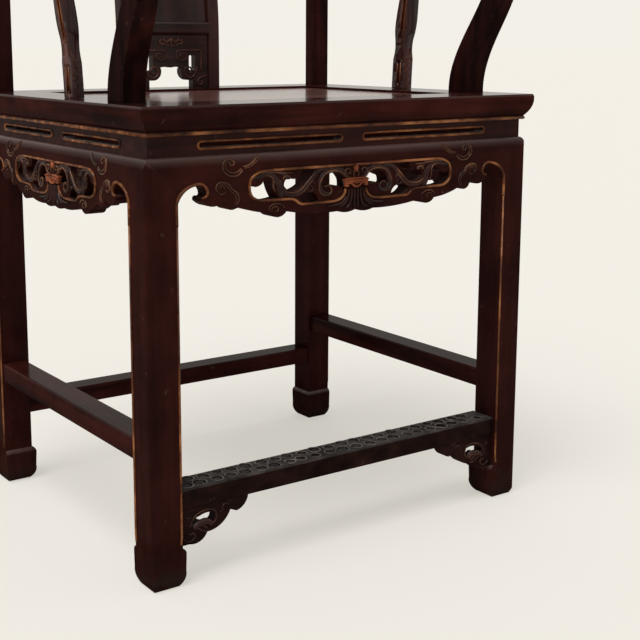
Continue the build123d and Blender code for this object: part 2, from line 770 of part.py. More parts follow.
grip_plane = Plane(origin=half_path @ 1, x_dir=half_path % 1, z_dir=rail_plane.z_dir)
with BuildPart() as rail_arm:
    add(half_run)
    with BuildSketch(grip_plane):
        with BuildLine():
            Line((0, 0), (0, rail_radius))
            ThreePointArc(
                (0, rail_radius),
                (grip_length / 2, rail_radius),
                (grip_length - 1, grip_radius - 1),
            )
            Line((grip_length - 1, grip_radius - 1), (grip_length - 1, 0))
            Line((grip_length - 1, 0), (0, 0))
        make_face()
    revolve(axis=Axis(grip_plane.origin, grip_plane.x_dir))
    with Locations(Plane(grip_plane.from_local_coords(Vector(grip_length, 0, 0)))):
        Sphere(grip_radius)
    add(lap_cut(arm_lap_plane, False, -1), mode=Mode.SUBTRACT)

# plain run of the whole rail, which the posts and the splat are cut to fit
with BuildPart() as rail_run:
    add(half_run)
    mirror(about=Plane.YZ)

# ================================================= posts
# The posts' curves run from the seat to just past the rail, by shares of each post's own rise.
front_curve = (      # share of the rise, how far the front face has come forward, how much slimmer
    (0, 0, 0),
    (0.086, 1.5, 0.2),
    (0.254, 15.5, 1.4),
    (0.382, 32, 2.5),
    (0.511, 47, 4.4),
    (0.688, 58, 6.4),
    (0.881, 59, 7.4),
    (1.117, 51, 7.4),
)
front_lean = (       # share of the rise, how far the outer face has moved outwards, how much narrower
    (0, 0, 0),
    (0.258, 1.2, 0.4),
    (0.511, 4.1, 1.6),
    (0.816, 8.2, 2),
    (1.117, 9.2, 2),
)
side_lean = (        # share of the rise, outward shift of the side post's middle, how much wider
    (0, 0, 0),
    (0.144, 3.2, 0),
    (0.316, 9, 1),
    (0.542, 16.5, 0.5),
    (0.766, 20, -0.5),
    (1.053, 20.2, -1),
)
side_curve = (       # share of the rise, how much slimmer than its foot the post is, front to back
    (0, 0),
    (0.096, -0.2),
    (0.131, 5.5),
    (0.179, 1.4),
    (0.351, 1),
    (0.702, 5),
    (1.053, 8),
)


def blade(left, right):
    """Face between two smooth edges given from the bottom up."""
    with BuildSketch() as outline:
        with BuildLine():
            first = Spline(left)
            second = Spline(right)
            Line(first @ 0, second @ 0)
            Line(first @ 1, second @ 1)
        make_face()
    return outline.sketch


def rail_x(v):
    """Half width of the rail's middle line at a place v along its plane."""
    back_end = -rail_back_radius + rail_back_radius * cos(back_turn)
    if v > back_end:
        return sqrt(rail_back_radius**2 - (v + rail_back_radius) ** 2)
    if v > arm_v:
        return shoulder_x + sqrt(rail_shoulder_radius**2 - (v - shoulder_v) ** 2)
    return arm_x - (arm_v - v) * sin(converge) / cos(converge)


def on_rail(y):
    """Point of the rail's right half above a given Y, on its front-facing run."""
    v = (y - rail_back_y) / cos(slope)
    return (rail_x(v), y, rail_height + v * sin(slope))


front_top = on_rail(-half_depth + front_post_setback - front_reach)
side_top_point = on_rail(side_post_y)
rear_top_point = on_rail(post_y + rear_reach)
front_rise = front_top[2] - seat_height
side_rise = side_top_point[2] - seat_height
front_face = -half_depth + front_post_setback
outer_face = half_width - front_post_inset


def trim_to_rail(top):
    """Everything above the rail's plane near a post, so that the post stops under the rail."""
    with BuildPart(Plane(origin=top, x_dir=(1, 0, 0), z_dir=rail_plane.z_dir)) as above:
        Box(80, 120, 160, align=(Align.CENTER, Align.CENTER, Align.MIN))
    return above.part


def rail_peg(top, clearance):
    """Round tenon from a post up into the rail."""
    with BuildPart(Plane(origin=top)) as peg:
        Cylinder(
            rail_tenon + clearance,
            rail_radius * 1.9 + 2 * clearance,
            align=(Align.CENTER, Align.CENTER, Align.CENTER),
        )
        with BuildSketch(Plane(origin=top, x_dir=(1, 0, 0), z_dir=rail_plane.z_dir).offset(6 + clearance)):
            Rectangle(60, 90)
        extrude(amount=60, mode=Mode.SUBTRACT)
    return peg.part


with BuildPart() as post_front:
    with BuildSketch(Plane.YZ.offset(half_width)):
        add(
            blade(
                [(front_face - reach, seat_height + share * front_rise) for share, reach, slimmer in front_curve],
                [
                    (front_face - reach + front_post_depth - slimmer, seat_height + share * front_rise)
                    for share, reach, slimmer in front_curve
                ],
            )
        )
    extrude(amount=-60)
    with BuildSketch(Plane.XZ.offset(half_depth)):
        add(
            blade(
                [(outer_face + lean, seat_height + share * front_rise) for share, lean, narrower in front_lean],
                [
                    (outer_face + lean - front_post_width + narrower, seat_height + share * front_rise)
                    for share, lean, narrower in front_lean
                ],
            )
        )
    extrude(amount=-seat_depth, mode=Mode.INTERSECT)
    add(trim_to_rail(front_top), mode=Mode.SUBTRACT)
    add(rail_run.part, mode=Mode.SUBTRACT)
    add(rail_peg(front_top, 0))
    with Locations((front_post_x, front_post_y, seat_height)):
        Box(post_tenon, post_tenon, post_tenon, align=(Align.CENTER, Align.CENTER, Align.MAX))

groove_width = 5
groove_depth = 2
core_width = side_post_width - 2 * groove_depth
with BuildPart() as post_side:
    with BuildSketch(Plane.YZ.offset(half_width)):
        add(
            blade(
                [
                    (side_post_y - (side_post_depth - slimmer) / 2, seat_height + share * side_rise)
                    for share, slimmer in side_curve
                ],
                [
                    (side_post_y + (side_post_depth - slimmer) / 2, seat_height + share * side_rise)
                    for share, slimmer in side_curve
                ],
            )
        )
    extrude(amount=-60)
    with BuildSketch(Plane.XZ.offset(half_depth)):
        add(
            blade(
                [
                    (side_post_x + lean - (side_post_width + wider) / 2, seat_height + share * side_rise)
                    for share, lean, wider in side_lean
                ],
                [
                    (side_post_x + lean + (side_post_width + wider) / 2, seat_height + share * side_rise)
                    for share, lean, wider in side_lean
                ],
            )
        )
    extrude(amount=-seat_depth, mode=Mode.INTERSECT)
    add(trim_to_rail(side_top_point), mode=Mode.SUBTRACT)
    add(rail_run.part, mode=Mode.SUBTRACT)
    with BuildPart(mode=Mode.PRIVATE) as grooves:
        with BuildSketch(Plane.YZ.offset(half_width)):
            with Locations((side_post_y, seat_height + side_rise * 0.051)):
                SlotOverall(side_rise * 0.077, groove_width, rotation=90)
            with Locations((side_post_y, seat_height + side_rise * 0.51)):
                SlotOverall(side_rise * 0.69, groove_width, rotation=90)
        extrude(amount=-60)
        with BuildSketch(Plane.XZ.offset(half_depth)):
            add(
                blade(
                    [
                        (side_post_x + lean - core_width / 2 - wider / 2, seat_height + share * side_rise)
                        for share, lean, wider in side_lean
                    ],
                    [
                        (side_post_x + lean + core_width / 2 + wider / 2, seat_height + share * side_rise)
                        for share, lean, wider in side_lean
                    ],
                )
            )
        extrude(amount=-seat_depth, mode=Mode.SUBTRACT)
    add(grooves.part, mode=Mode.SUBTRACT)
    add(rail_peg(side_top_point, 0))
    with Locations((side_post_x, side_post_y, seat_height)):
        Box(
            side_post_width - 5,
            side_post_depth - 10,
            post_tenon,
            align=(Align.CENTER, Align.CENTER, Align.MAX),
        )

# the rear post stands upright, then leans back and inwards to the rail
lean_x = rear_top_point[0] - post_x
lean_y = rear_top_point[1] - post_y
lean_run = sqrt(lean_x**2 + lean_y**2)
lean_rise = rear_top_point[2] + 20 - seat_height - rear_bend
lean_radius = (lean_rise**2 + lean_run**2) / (2 * lean_run)
lean_plane = Plane(
    origin=(post_x, post_y, seat_height),
    x_dir=(lean_x, lean_y, 0),
    z_dir=(lean_y, -lean_x, 0),
)
with BuildPart() as post_rear:
    with BuildLine(lean_plane) as lean_line:
        Line((0, 0), (0, rear_bend))
        CenterArc((lean_radius, rear_bend), lean_radius, 180, -degrees(asin(lean_rise / lean_radius)))
    with BuildSketch(Plane.XY.offset(seat_height)):
        with Locations((post_x, post_y)):
            RectangleRounded(rear_post, rear_post, rear_post_round)
    sweep(path=lean_line.wires()[0])
    add(trim_to_rail(rear_top_point), mode=Mode.SUBTRACT)
    add(rail_run.part, mode=Mode.SUBTRACT)
    add(rail_peg(rear_top_point, 0))
    with Locations((post_x, post_y, seat_height)):
        Box(post_tenon, post_tenon, post_tenon, align=(Align.CENTER, Align.CENTER, Align.MAX))

for piece, name in ((post_front, "post_front"), (post_side, "post_side"), (post_rear, "post_rear")):
    save(piece, f"{name}_right")
    mirrored(piece, f"{name}_left")

# ================================================= splat
bend_turn = splat_lean - splat_top_lean
bend_centre = (
    splat_y + splat_bend * (1 - 2 * cos(radians(splat_lean))),
    bend_z + 2 * splat_bend * sin(radians(splat_lean)),
)


def splat_side(front, back):
    """Side view of a curved board between two offsets from the splat's middle line."""
    with BuildSketch() as side:
        with BuildLine():
            first = Line((splat_y - front, seat_height), (splat_y - front, bend_z))
            CenterArc((splat_y + splat_bend, bend_z), splat_bend + front, 180, -splat_lean)
            front_end = CenterArc(bend_centre, splat_bend - front, -splat_lean, bend_turn)
            second = Line((splat_y + back, seat_height), (splat_y + back, bend_z))
            CenterArc((splat_y + splat_bend, bend_z), splat_bend - back, 180, -splat_lean)
            back_end = CenterArc(bend_centre, splat_bend + back, -splat_lean, bend_turn)
            Line(first @ 0, second @ 0)
            Line(front_end @ 1, back_end @ 1)
        make_face()
    return side.sketch


stile_inner = splat_width / 2 - stile_width
cross_lower = seat_height + lower_register
cross_upper = cross_lower + cross_height + panel_share * (rail_height - cross_lower - cross_height)
half_splat = splat_thickness / 2
board_front = 3.5
board_back = splat_board - board_front
housing = 5


def band(front, back, half_length, low, high):
    """Curved board of the splat between two heights, with its own front and back offsets."""
    with BuildPart() as board:
        with BuildSketch(Plane.YZ.offset(-half_length)):
            add(splat_side(front, back))
            with Locations((rail_back_y, (low + high) / 2)):
                Rectangle(seat_depth, high - low, mode=Mode.INTERSECT)
        extrude(amount=2 * half_length)
    return board.part


with BuildPart() as stile:
    with BuildSketch(Plane.YZ.offset(stile_inner)):
        add(splat_side(half_splat, half_splat))
    extrude(amount=stile_width)
    add(
        band(board_front + fit, board_back + fit, stile_inner + housing + fit, cross_lower, 2 * rail_height),
        mode=Mode.SUBTRACT,
    )
    add(rail_run.part, mode=Mode.SUBTRACT)
    with Locations((stile_x, splat_y, seat_height)):
        Box(
            stile_width - 6,
            splat_board,
            post_tenon,
            align=(Align.CENTER, Align.CENTER, Align.MAX),
        )
save(stile, "splat_stile_right")
mirrored(stile, "splat_stile_left")

panel_low = cross_lower + cross_height - housing
panel_high = cross_upper + housing
crest_low = cross_upper + cross_height - housing
for name, low in (("splat_rail_lower", cross_lower), ("splat_rail_upper", cross_upper)):
    high = low + cross_height
    with BuildPart() as cross_rail:
        add(band(half_splat + 1, half_splat, stile_inner, low, high))
        fillet(cross_rail.faces().sort_by(Axis.Y)[0].edges().filter_by(Axis.X), 5)
        add(band(board_front, board_back, stile_inner + housing, low + housing + 1, high - housing - 1))
        if low == cross_upper:
            add(
                band(board_front + fit, board_back + fit, stile_inner + housing, low - 1, panel_high + fit),
                mode=Mode.SUBTRACT,
            )
            add(
                band(board_front + fit, board_back + fit, stile_inner + housing, crest_low - fit, high + 1),
                mode=Mode.SUBTRACT,
            )
        else:
            add(
                band(board_front + fit, board_back + fit, stile_inner + housing, panel_low - fit, high + 1),
                mode=Mode.SUBTRACT,
            )
    save(cross_rail, name)

with BuildPart() as splat_panel:
    add(band(board_front, board_back, stile_inner + housing, panel_low, panel_high))
save(splat_panel, "splat_panel")

with BuildPart() as splat_crest:
    add(band(board_front, board_back, stile_inner + housing, crest_low, 2 * rail_height))
    add(rail_run.part, mode=Mode.SUBTRACT)
save(splat_crest, "splat_crest")

with BuildPart() as splat_apron:
    with BuildSketch(Plane.XZ.offset(-splat_y + board_front + 2)):
        with BuildLine() as edge:
            Line((stile_inner, seat_height), (splat_foot, seat_height))
            Line((splat_foot, seat_height), (splat_foot, seat_height + 10.4))
            Line((splat_foot, seat_height + 10.4), (splat_foot - 7, seat_height + 10.4))
            ThreePointArc(
                (splat_foot - 7, seat_height + 10.4),
                (splat_foot - 15.4, seat_height + 14.2),
                (splat_foot - 18.8, seat_height + 24),
            )
            ThreePointArc(
                (splat_foot - 18.8, seat_height + 24),
                (splat_foot - 18.4, seat_height + 26.4),
                (splat_foot - 16.8, seat_height + 28),
            )
            ThreePointArc((splat_foot - 16.8, seat_height + 28), (8, seat_height + 29), (0, seat_height + 28))
            Line((0, cross_lower), (stile_inner, cross_lower))
            Line((stile_inner, cross_lower), (stile_inner, seat_height))
            mirror(edge.line, about=Plane.YZ)
        make_face()
        with Locations((splat_foot, seat_height + 34.5), (-splat_foot, seat_height + 34.5)):
            SlotOverall(21, 5, rotation=90, mode=Mode.SUBTRACT)
    extrude(amount=-splat_board - 2)
save(splat_apron, "splat_apron")

# sockets for the posts' tenons, then the rail's pieces
for piece in (rail_back, rail_shoulder, rail_arm):
    with piece:
        for top in (front_top, side_top_point, rear_top_point):
            add(rail_peg(top, fit), mode=Mode.SUBTRACT)
        if piece is rail_back:
            for top in (front_top, side_top_point, rear_top_point):
                mirror(rail_peg(top, fit), about=Plane.YZ, mode=Mode.SUBTRACT)
save(rail_back, "rail_back")
save(rail_shoulder, "rail_shoulder_right")
mirrored(rail_shoulder, "rail_shoulder_left")
save(rail_arm, "rail_arm_right")
mirrored(rail_arm, "rail_arm_left")

with BuildPart() as rail_pins:
    for plane in (back_lap, arm_lap_plane):
        with Locations(plane):
            Box(pin_size, 2 * rail_radius - 1, pin_size)
    add(rail_run.part, mode=Mode.INTERSECT)
    mirror(about=Plane.YZ)
save(rail_pins, "rail_pins")
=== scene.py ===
import math
import random

import bmesh
import bpy
from mathutils import Matrix, Vector
from mathutils.bvhtree import BVHTree


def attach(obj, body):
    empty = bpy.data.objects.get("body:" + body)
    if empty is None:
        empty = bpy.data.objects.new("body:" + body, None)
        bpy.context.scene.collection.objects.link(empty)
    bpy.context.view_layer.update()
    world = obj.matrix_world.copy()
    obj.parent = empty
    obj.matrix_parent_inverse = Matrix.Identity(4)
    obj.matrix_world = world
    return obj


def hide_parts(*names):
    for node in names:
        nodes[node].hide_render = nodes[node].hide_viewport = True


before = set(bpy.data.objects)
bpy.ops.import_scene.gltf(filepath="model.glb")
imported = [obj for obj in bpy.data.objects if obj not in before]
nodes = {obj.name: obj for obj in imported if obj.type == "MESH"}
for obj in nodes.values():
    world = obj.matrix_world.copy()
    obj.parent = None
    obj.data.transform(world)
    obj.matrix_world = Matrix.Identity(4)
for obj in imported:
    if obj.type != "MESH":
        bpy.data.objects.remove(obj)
scene = bpy.context.scene


def noteSize():
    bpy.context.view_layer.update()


noteSize()
print("frame loaded:", len(nodes), "nodes")


def linkedObject(name, data):
    made = bpy.data.objects.new(name, data)
    scene.collection.objects.link(made)
    return made


view = {
    "place": (-0.8418, -1.3061, 0.5839),
    "turn": 34.38,
    "tilt": 10.01,
    "lens": 68.365,
    "sensor": 36,
    "shiftX": 0.06,
    "shiftY": -0.10,
}
camera = linkedObject("camera", bpy.data.cameras.new("camera"))
camera.data.sensor_width = view["sensor"]
camera.data.lens = view["lens"]
camera.data.shift_x = view["shiftX"]
camera.data.shift_y = view["shiftY"]
camera.location = view["place"]
camera.rotation_euler = (math.radians(90 - view["tilt"]), 0, math.radians(-view["turn"]))
scene.camera = camera
scene.view_settings.view_transform = "Standard"

studio = {
    "paper": (0.90, 0.868, 0.80),
    "paperSize": 60.0,
    "paperRough": 0.9,
    "paperShine": 0.2,
    "paperSeen": 0.56,     # how much of its own colour the floor shows the camera
    "fill": (1.0, 0.985, 0.96),
    "fillLight": 0.52,
    "sunLight": 1.69,
    "sunAngle": 34,
    "sunFrom": (-1.7, -0.6, 3.8),
    "sunAim": (0, 0, 0.2),
}


def bareMaterial(name):
    made = bpy.data.materials.new(name)
    made.use_nodes = True
    made.node_tree.nodes.clear()
    return made, made.node_tree.nodes, made.node_tree.links


floorMesh = bpy.data.meshes.new("floor")
bm = bmesh.new()
bmesh.ops.create_grid(bm, x_segments=1, y_segments=1, size=studio["paperSize"])
bm.to_mesh(floorMesh)
bm.free()
floor = linkedObject("floor", floorMesh)

paper, paperNodes, paperLinks = bareMaterial("paper")
paperOut = paperNodes.new("ShaderNodeOutputMaterial")
paperBody = paperNodes.new("ShaderNodeBsdfPrincipled")
paperBody.inputs["Base Color"].default_value = (*studio["paper"], 1)
paperBody.inputs["Roughness"].default_value = studio["paperRough"]
paperBody.inputs["Specular IOR Level"].default_value = studio["paperShine"]
# the camera sees part of the floor at its own colour, so its shadows stay light
paperSeen = paperNodes.new("ShaderNodeEmission")
paperSeen.inputs["Color"].default_value = (*studio["paper"], 1)
paperPath = paperNodes.new("ShaderNodeLightPath")
paperShare = paperNodes.new("ShaderNodeMath")
paperShare.operation = "MULTIPLY"
paperShare.inputs[1].default_value = studio["paperSeen"]
paperMix = paperNodes.new("ShaderNodeMixShader")
paperLinks.new(paperPath.outputs["Is Camera Ray"], paperShare.inputs[0])
paperLinks.new(paperShare.outputs[0], paperMix.inputs["Fac"])
paperLinks.new(paperBody.outputs["BSDF"], paperMix.inputs[1])
paperLinks.new(paperSeen.outputs["Emission"], paperMix.inputs[2])
paperLinks.new(paperMix.outputs["Shader"], paperOut.inputs["Surface"])
floor.data.materials.append(paper)

# the camera and the gloss see the paper's colour all round, everything else gets the fill light
world = bpy.data.worlds.new("studio")
scene.world = world
world.use_nodes = True
worldNodes, worldLinks = world.node_tree.nodes, world.node_tree.links
worldNodes.clear()
worldOut = worldNodes.new("ShaderNodeOutputWorld")
worldSeen = worldNodes.new("ShaderNodeBackground")
worldSeen.inputs["Color"].default_value = (*studio["paper"], 1)
worldSeen.inputs["Strength"].default_value = 1.0
worldFill = worldNodes.new("ShaderNodeBackground")
worldFill.inputs["Color"].default_value = (*studio["fill"], 1)
worldFill.inputs["Strength"].default_value = studio["fillLight"]
worldPath = worldNodes.new("ShaderNodeLightPath")
worldMix = worldNodes.new("ShaderNodeMixShader")
worldShown = worldNodes.new("ShaderNodeMath")
worldShown.operation = "MAXIMUM"
worldLinks.new(worldPath.outputs["Is Camera Ray"], worldShown.inputs[0])
worldLinks.new(worldPath.outputs["Is Glossy Ray"], worldShown.inputs[1])
worldLinks.new(worldShown.outputs[0], worldMix.inputs["Fac"])
worldLinks.new(worldFill.outputs["Background"], worldMix.inputs[1])
worldLinks.new(worldSeen.outputs["Background"], worldMix.inputs[2])
worldLinks.new(worldMix.outputs["Shader"], worldOut.inputs["Surface"])

sun = linkedObject("softSun", bpy.data.lights.new("softSun", "SUN"))
sun.data.energy = studio["sunLight"]
sun.data.angle = math.radians(studio["sunAngle"])
sun.location = studio["sunFrom"]
sun.rotation_euler = (Vector(studio["sunAim"]) - sun.location).to_track_quat("-Z", "Y").to_euler()
print("camera, floor and lamps ready")


def newGroup(name, inputs, outputs):
    group = bpy.data.node_groups.new(name, "ShaderNodeTree")
    for label, kind, value in inputs:
        socket = group.interface.new_socket(name=label, in_out="INPUT", socket_type=kind)
        if value is not None:
            socket.default_value = value
    for label, kind in outputs:
        group.interface.new_socket(name=label, in_out="OUTPUT", socket_type=kind)
    entry = group.nodes.new("NodeGroupInput")
    leave = group.nodes.new("NodeGroupOutput")
    return group, entry, leave


def mathNode(tree, operation, first, second=None, clamp=False):
    made = tree.nodes.new("ShaderNodeMath")
    made.operation = operation
    made.use_clamp = clamp
    for place, value in enumerate((first, second)):
        if value is None:
            continue
        if isinstance(value, (int, float)):
            made.inputs[place].default_value = value
        else:
            tree.links.new(value, made.inputs[place])
    return made.outputs[0]


def rampNode(tree, factor, stops):
    made = tree.nodes.new("ShaderNodeValToRGB")
    marks = made.color_ramp.elements
    marks[0].position, marks[0].color = stops[0][0], (*stops[0][1], 1)
    marks[1].position, marks[1].color = stops[-1][0], (*stops[-1][1], 1)
    for place, colour in stops[1:-1]:
        marks.new(place).color = (*colour, 1)
    tree.links.new(factor, made.inputs[0])
    return made.outputs[0]


def mixColour(tree, factor, first, second, blend="MIX"):
    made = tree.nodes.new("ShaderNodeMix")
    made.data_type = "RGBA"
    made.blend_type = blend
    for place, value in ((0, factor), (6, first), (7, second)):
        if isinstance(value, (int, float)):
            made.inputs[place].default_value = value
        elif isinstance(value, tuple):
            made.inputs[place].default_value = (*value, 1)
        else:
            tree.links.new(value, made.inputs[place])
    return made.outputs[2]


def noiseNode(tree, place, scale, detail, roughness=0.5):
    made = tree.nodes.new("ShaderNodeTexNoise")
    made.inputs["Scale"].default_value = scale
    made.inputs["Detail"].default_value = detail
    made.inputs["Roughness"].default_value = roughness
    tree.links.new(place, made.inputs["Vector"])
    return made.outputs["Fac"]


def rising(tree, value, start, gain):
    # 0 up to start, then up to 1 as fast as gain says
    return mathNode(tree, "MULTIPLY", mathNode(tree, "SUBTRACT", value, start), gain, True)


def falling(tree, value, end, gain):
    # the other way round: 0 from end on
    return mathNode(tree, "MULTIPLY", mathNode(tree, "SUBTRACT", end, value), gain, True)


# wood grain: long dark and red streaks, broad clouds and fine pores
grainLook = {
    "Streak": {"scale": 55, "detail": 6, "roughness": 0.62, "stretched": True},
    "Pores": {"scale": 800, "detail": 2, "roughness": 0.5, "stretched": True},
    # the clouds aren't stretched, so they run on across the mitres
    "Clouds": {"scale": 13, "detail": 4, "roughness": 0.6, "stretched": False},
}
grain, grainIn, grainOut = newGroup(
    "lacquerGrain",
    (("Vector", "NodeSocketVector", None),),
    tuple((label, "NodeSocketFloat") for label in grainLook),
)
grainPlace = grain.nodes.new("ShaderNodeTexCoord")
for label, look in grainLook.items():
    place = grainIn.outputs["Vector"] if look["stretched"] else grainPlace.outputs["Object"]
    noise = noiseNode(grain, place, look["scale"], look["detail"], look["roughness"])
    grain.links.new(noise, grainOut.inputs[label])

# worn edges and the soft normal that rounds them off
wearLook = {
    "bevelSamples": 8,
    "edgeGain": 6.0,
    "patchScale": 46,      # patches where the lacquer is rubbed off
    "patchDetail": 6,
    "patchStart": 0.46,
    "patchGain": 6.0,
    "nickScale": 210,      # small pale nicks on the sharpest edges
    "nickDetail": 1,
    "nickStart": 0.63,
    "nickGain": 12.0,
    "nickTurn": 0.96,      # they begin where the edge has turned this far
    "nickTurnGain": 14.0,
    "topMargin": 0.15,
    "topStart": 0.12,
    "topGain": 1.6,
}
wear, wearIn, wearOut = newGroup(
    "edgeWear",
    (
        ("Width", "NodeSocketFloat", 0.0018),
        ("Amount", "NodeSocketFloat", 1.0),
        ("Nicks", "NodeSocketFloat", 1.0),
    ),
    (("Mask", "NodeSocketFloat"), ("Upward", "NodeSocketFloat"), ("Normal", "NodeSocketVector")),
)
wearGeometry = wear.nodes.new("ShaderNodeNewGeometry")
wearBevel = wear.nodes.new("ShaderNodeBevel")
wearBevel.samples = wearLook["bevelSamples"]
wear.links.new(wearIn.outputs["Width"], wearBevel.inputs["Radius"])
wearDot = wear.nodes.new("ShaderNodeVectorMath")
wearDot.operation = "DOT_PRODUCT"
wear.links.new(wearGeometry.outputs["Normal"], wearDot.inputs[0])
wear.links.new(wearBevel.outputs["Normal"], wearDot.inputs[1])
wearTurn = wearDot.outputs["Value"]
wearPlace = wear.nodes.new("ShaderNodeTexCoord").outputs["Object"]
patches = noiseNode(wear, wearPlace, wearLook["patchScale"], wearLook["patchDetail"])
patches = rising(wear, patches, wearLook["patchStart"], wearLook["patchGain"])
rubbed = mathNode(wear, "MULTIPLY", falling(wear, wearTurn, 1.0, wearLook["edgeGain"]), patches)
rubbed = mathNode(wear, "MULTIPLY", rubbed, wearIn.outputs["Amount"])
nicks = noiseNode(wear, wearPlace, wearLook["nickScale"], wearLook["nickDetail"])
nicks = rising(wear, nicks, wearLook["nickStart"], wearLook["nickGain"])
sharp = falling(wear, wearTurn, wearLook["nickTurn"], wearLook["nickTurnGain"])
nicks = mathNode(wear, "MULTIPLY", nicks, sharp)
nicks = mathNode(wear, "MULTIPLY", nicks, wearIn.outputs["Nicks"])
wear.links.new(mathNode(wear, "ADD", rubbed, nicks, True), wearOut.inputs["Mask"])
wear.links.new(wearBevel.outputs["Normal"], wearOut.inputs["Normal"])
softSplit = wear.nodes.new("ShaderNodeSeparateXYZ")
wear.links.new(wearBevel.outputs["Normal"], softSplit.inputs["Vector"])
trueSplit = wear.nodes.new("ShaderNodeSeparateXYZ")
wear.links.new(wearGeometry.outputs["Normal"], trueSplit.inputs["Vector"])
# the upright side of an edge isn't taken for a top, so joints leave no pale line of painted top
# sheen
heading = mathNode(wear, "ADD", trueSplit.outputs["Z"], wearLook["topMargin"])
heading = mathNode(wear, "MINIMUM", softSplit.outputs["Z"], heading)
upward = rising(wear, heading, wearLook["topStart"], wearLook["topGain"])
wear.links.new(upward, wearOut.inputs["Upward"])

# scuffs, and the dust that settles near the floor
scuffLook = {
    "scale": 95,
    "detail": 2,
    "start": 0.70,
    "gain": 9.0,
    "dustScale": 60,
    "dustDetail": 5,
    "dustStart": 0.32,
    "dustGain": 2.6,
}
scuff, scuffIn, scuffOut = newGroup(
    "scuffsAndDust",
    (("Scuffs", "NodeSocketFloat", 1.0), ("Dust Height", "NodeSocketFloat", 0.06)),
    (("Scuff", "NodeSocketFloat"), ("Dust", "NodeSocketFloat")),
)
scuffPlace = scuff.nodes.new("ShaderNodeTexCoord").outputs["Object"]
scuffs = noiseNode(scuff, scuffPlace, scuffLook["scale"], scuffLook["detail"])
scuffs = rising(scuff, scuffs, scuffLook["start"], scuffLook["gain"])
scuffs = mathNode(scuff, "MULTIPLY", scuffs, scuffIn.outputs["Scuffs"], True)
scuff.links.new(scuffs, scuffOut.inputs["Scuff"])
scuffSplit = scuff.nodes.new("ShaderNodeSeparateXYZ")
scuff.links.new(scuffPlace, scuffSplit.inputs["Vector"])
nearFloor = mathNode(scuff, "DIVIDE", scuffSplit.outputs["Z"], scuffIn.outputs["Dust Height"])
nearFloor = mathNode(scuff, "SUBTRACT", 1.0, nearFloor, True)
dust = noiseNode(scuff, scuffPlace, scuffLook["dustScale"], scuffLook["dustDetail"])
dust = rising(scuff, dust, scuffLook["dustStart"], scuffLook["dustGain"])
scuff.links.new(mathNode(scuff, "MULTIPLY", nearFloor, dust, True), scuffOut.inputs["Dust"])


def placedGroup(tree, group, values):
    made = tree.nodes.new("ShaderNodeGroup")
    made.node_tree = group
    for label, value in values.items():
        made.inputs[label].default_value = value
    return made


lacquerMix = {
    "streaksAt": (0.34, 0.50, 0.68),     # where the grain is dark, middling and red
    "clouds": ((0.32, (0.62, 0.60, 0.60)), (0.68, (1.3, 1.25, 1.25))),
    "cloudRough": 0.22,
    "streakRough": 0.10,
    "meanRough": 0.16,                   # what clouds and streaks add on the average
    "dustRough": 0.3,
    "dustDulls": 0.5,
    "poreDepth": 0.3,
    "scuffDepth": 0.5,
    "bumpDistance": 0.0005,
}


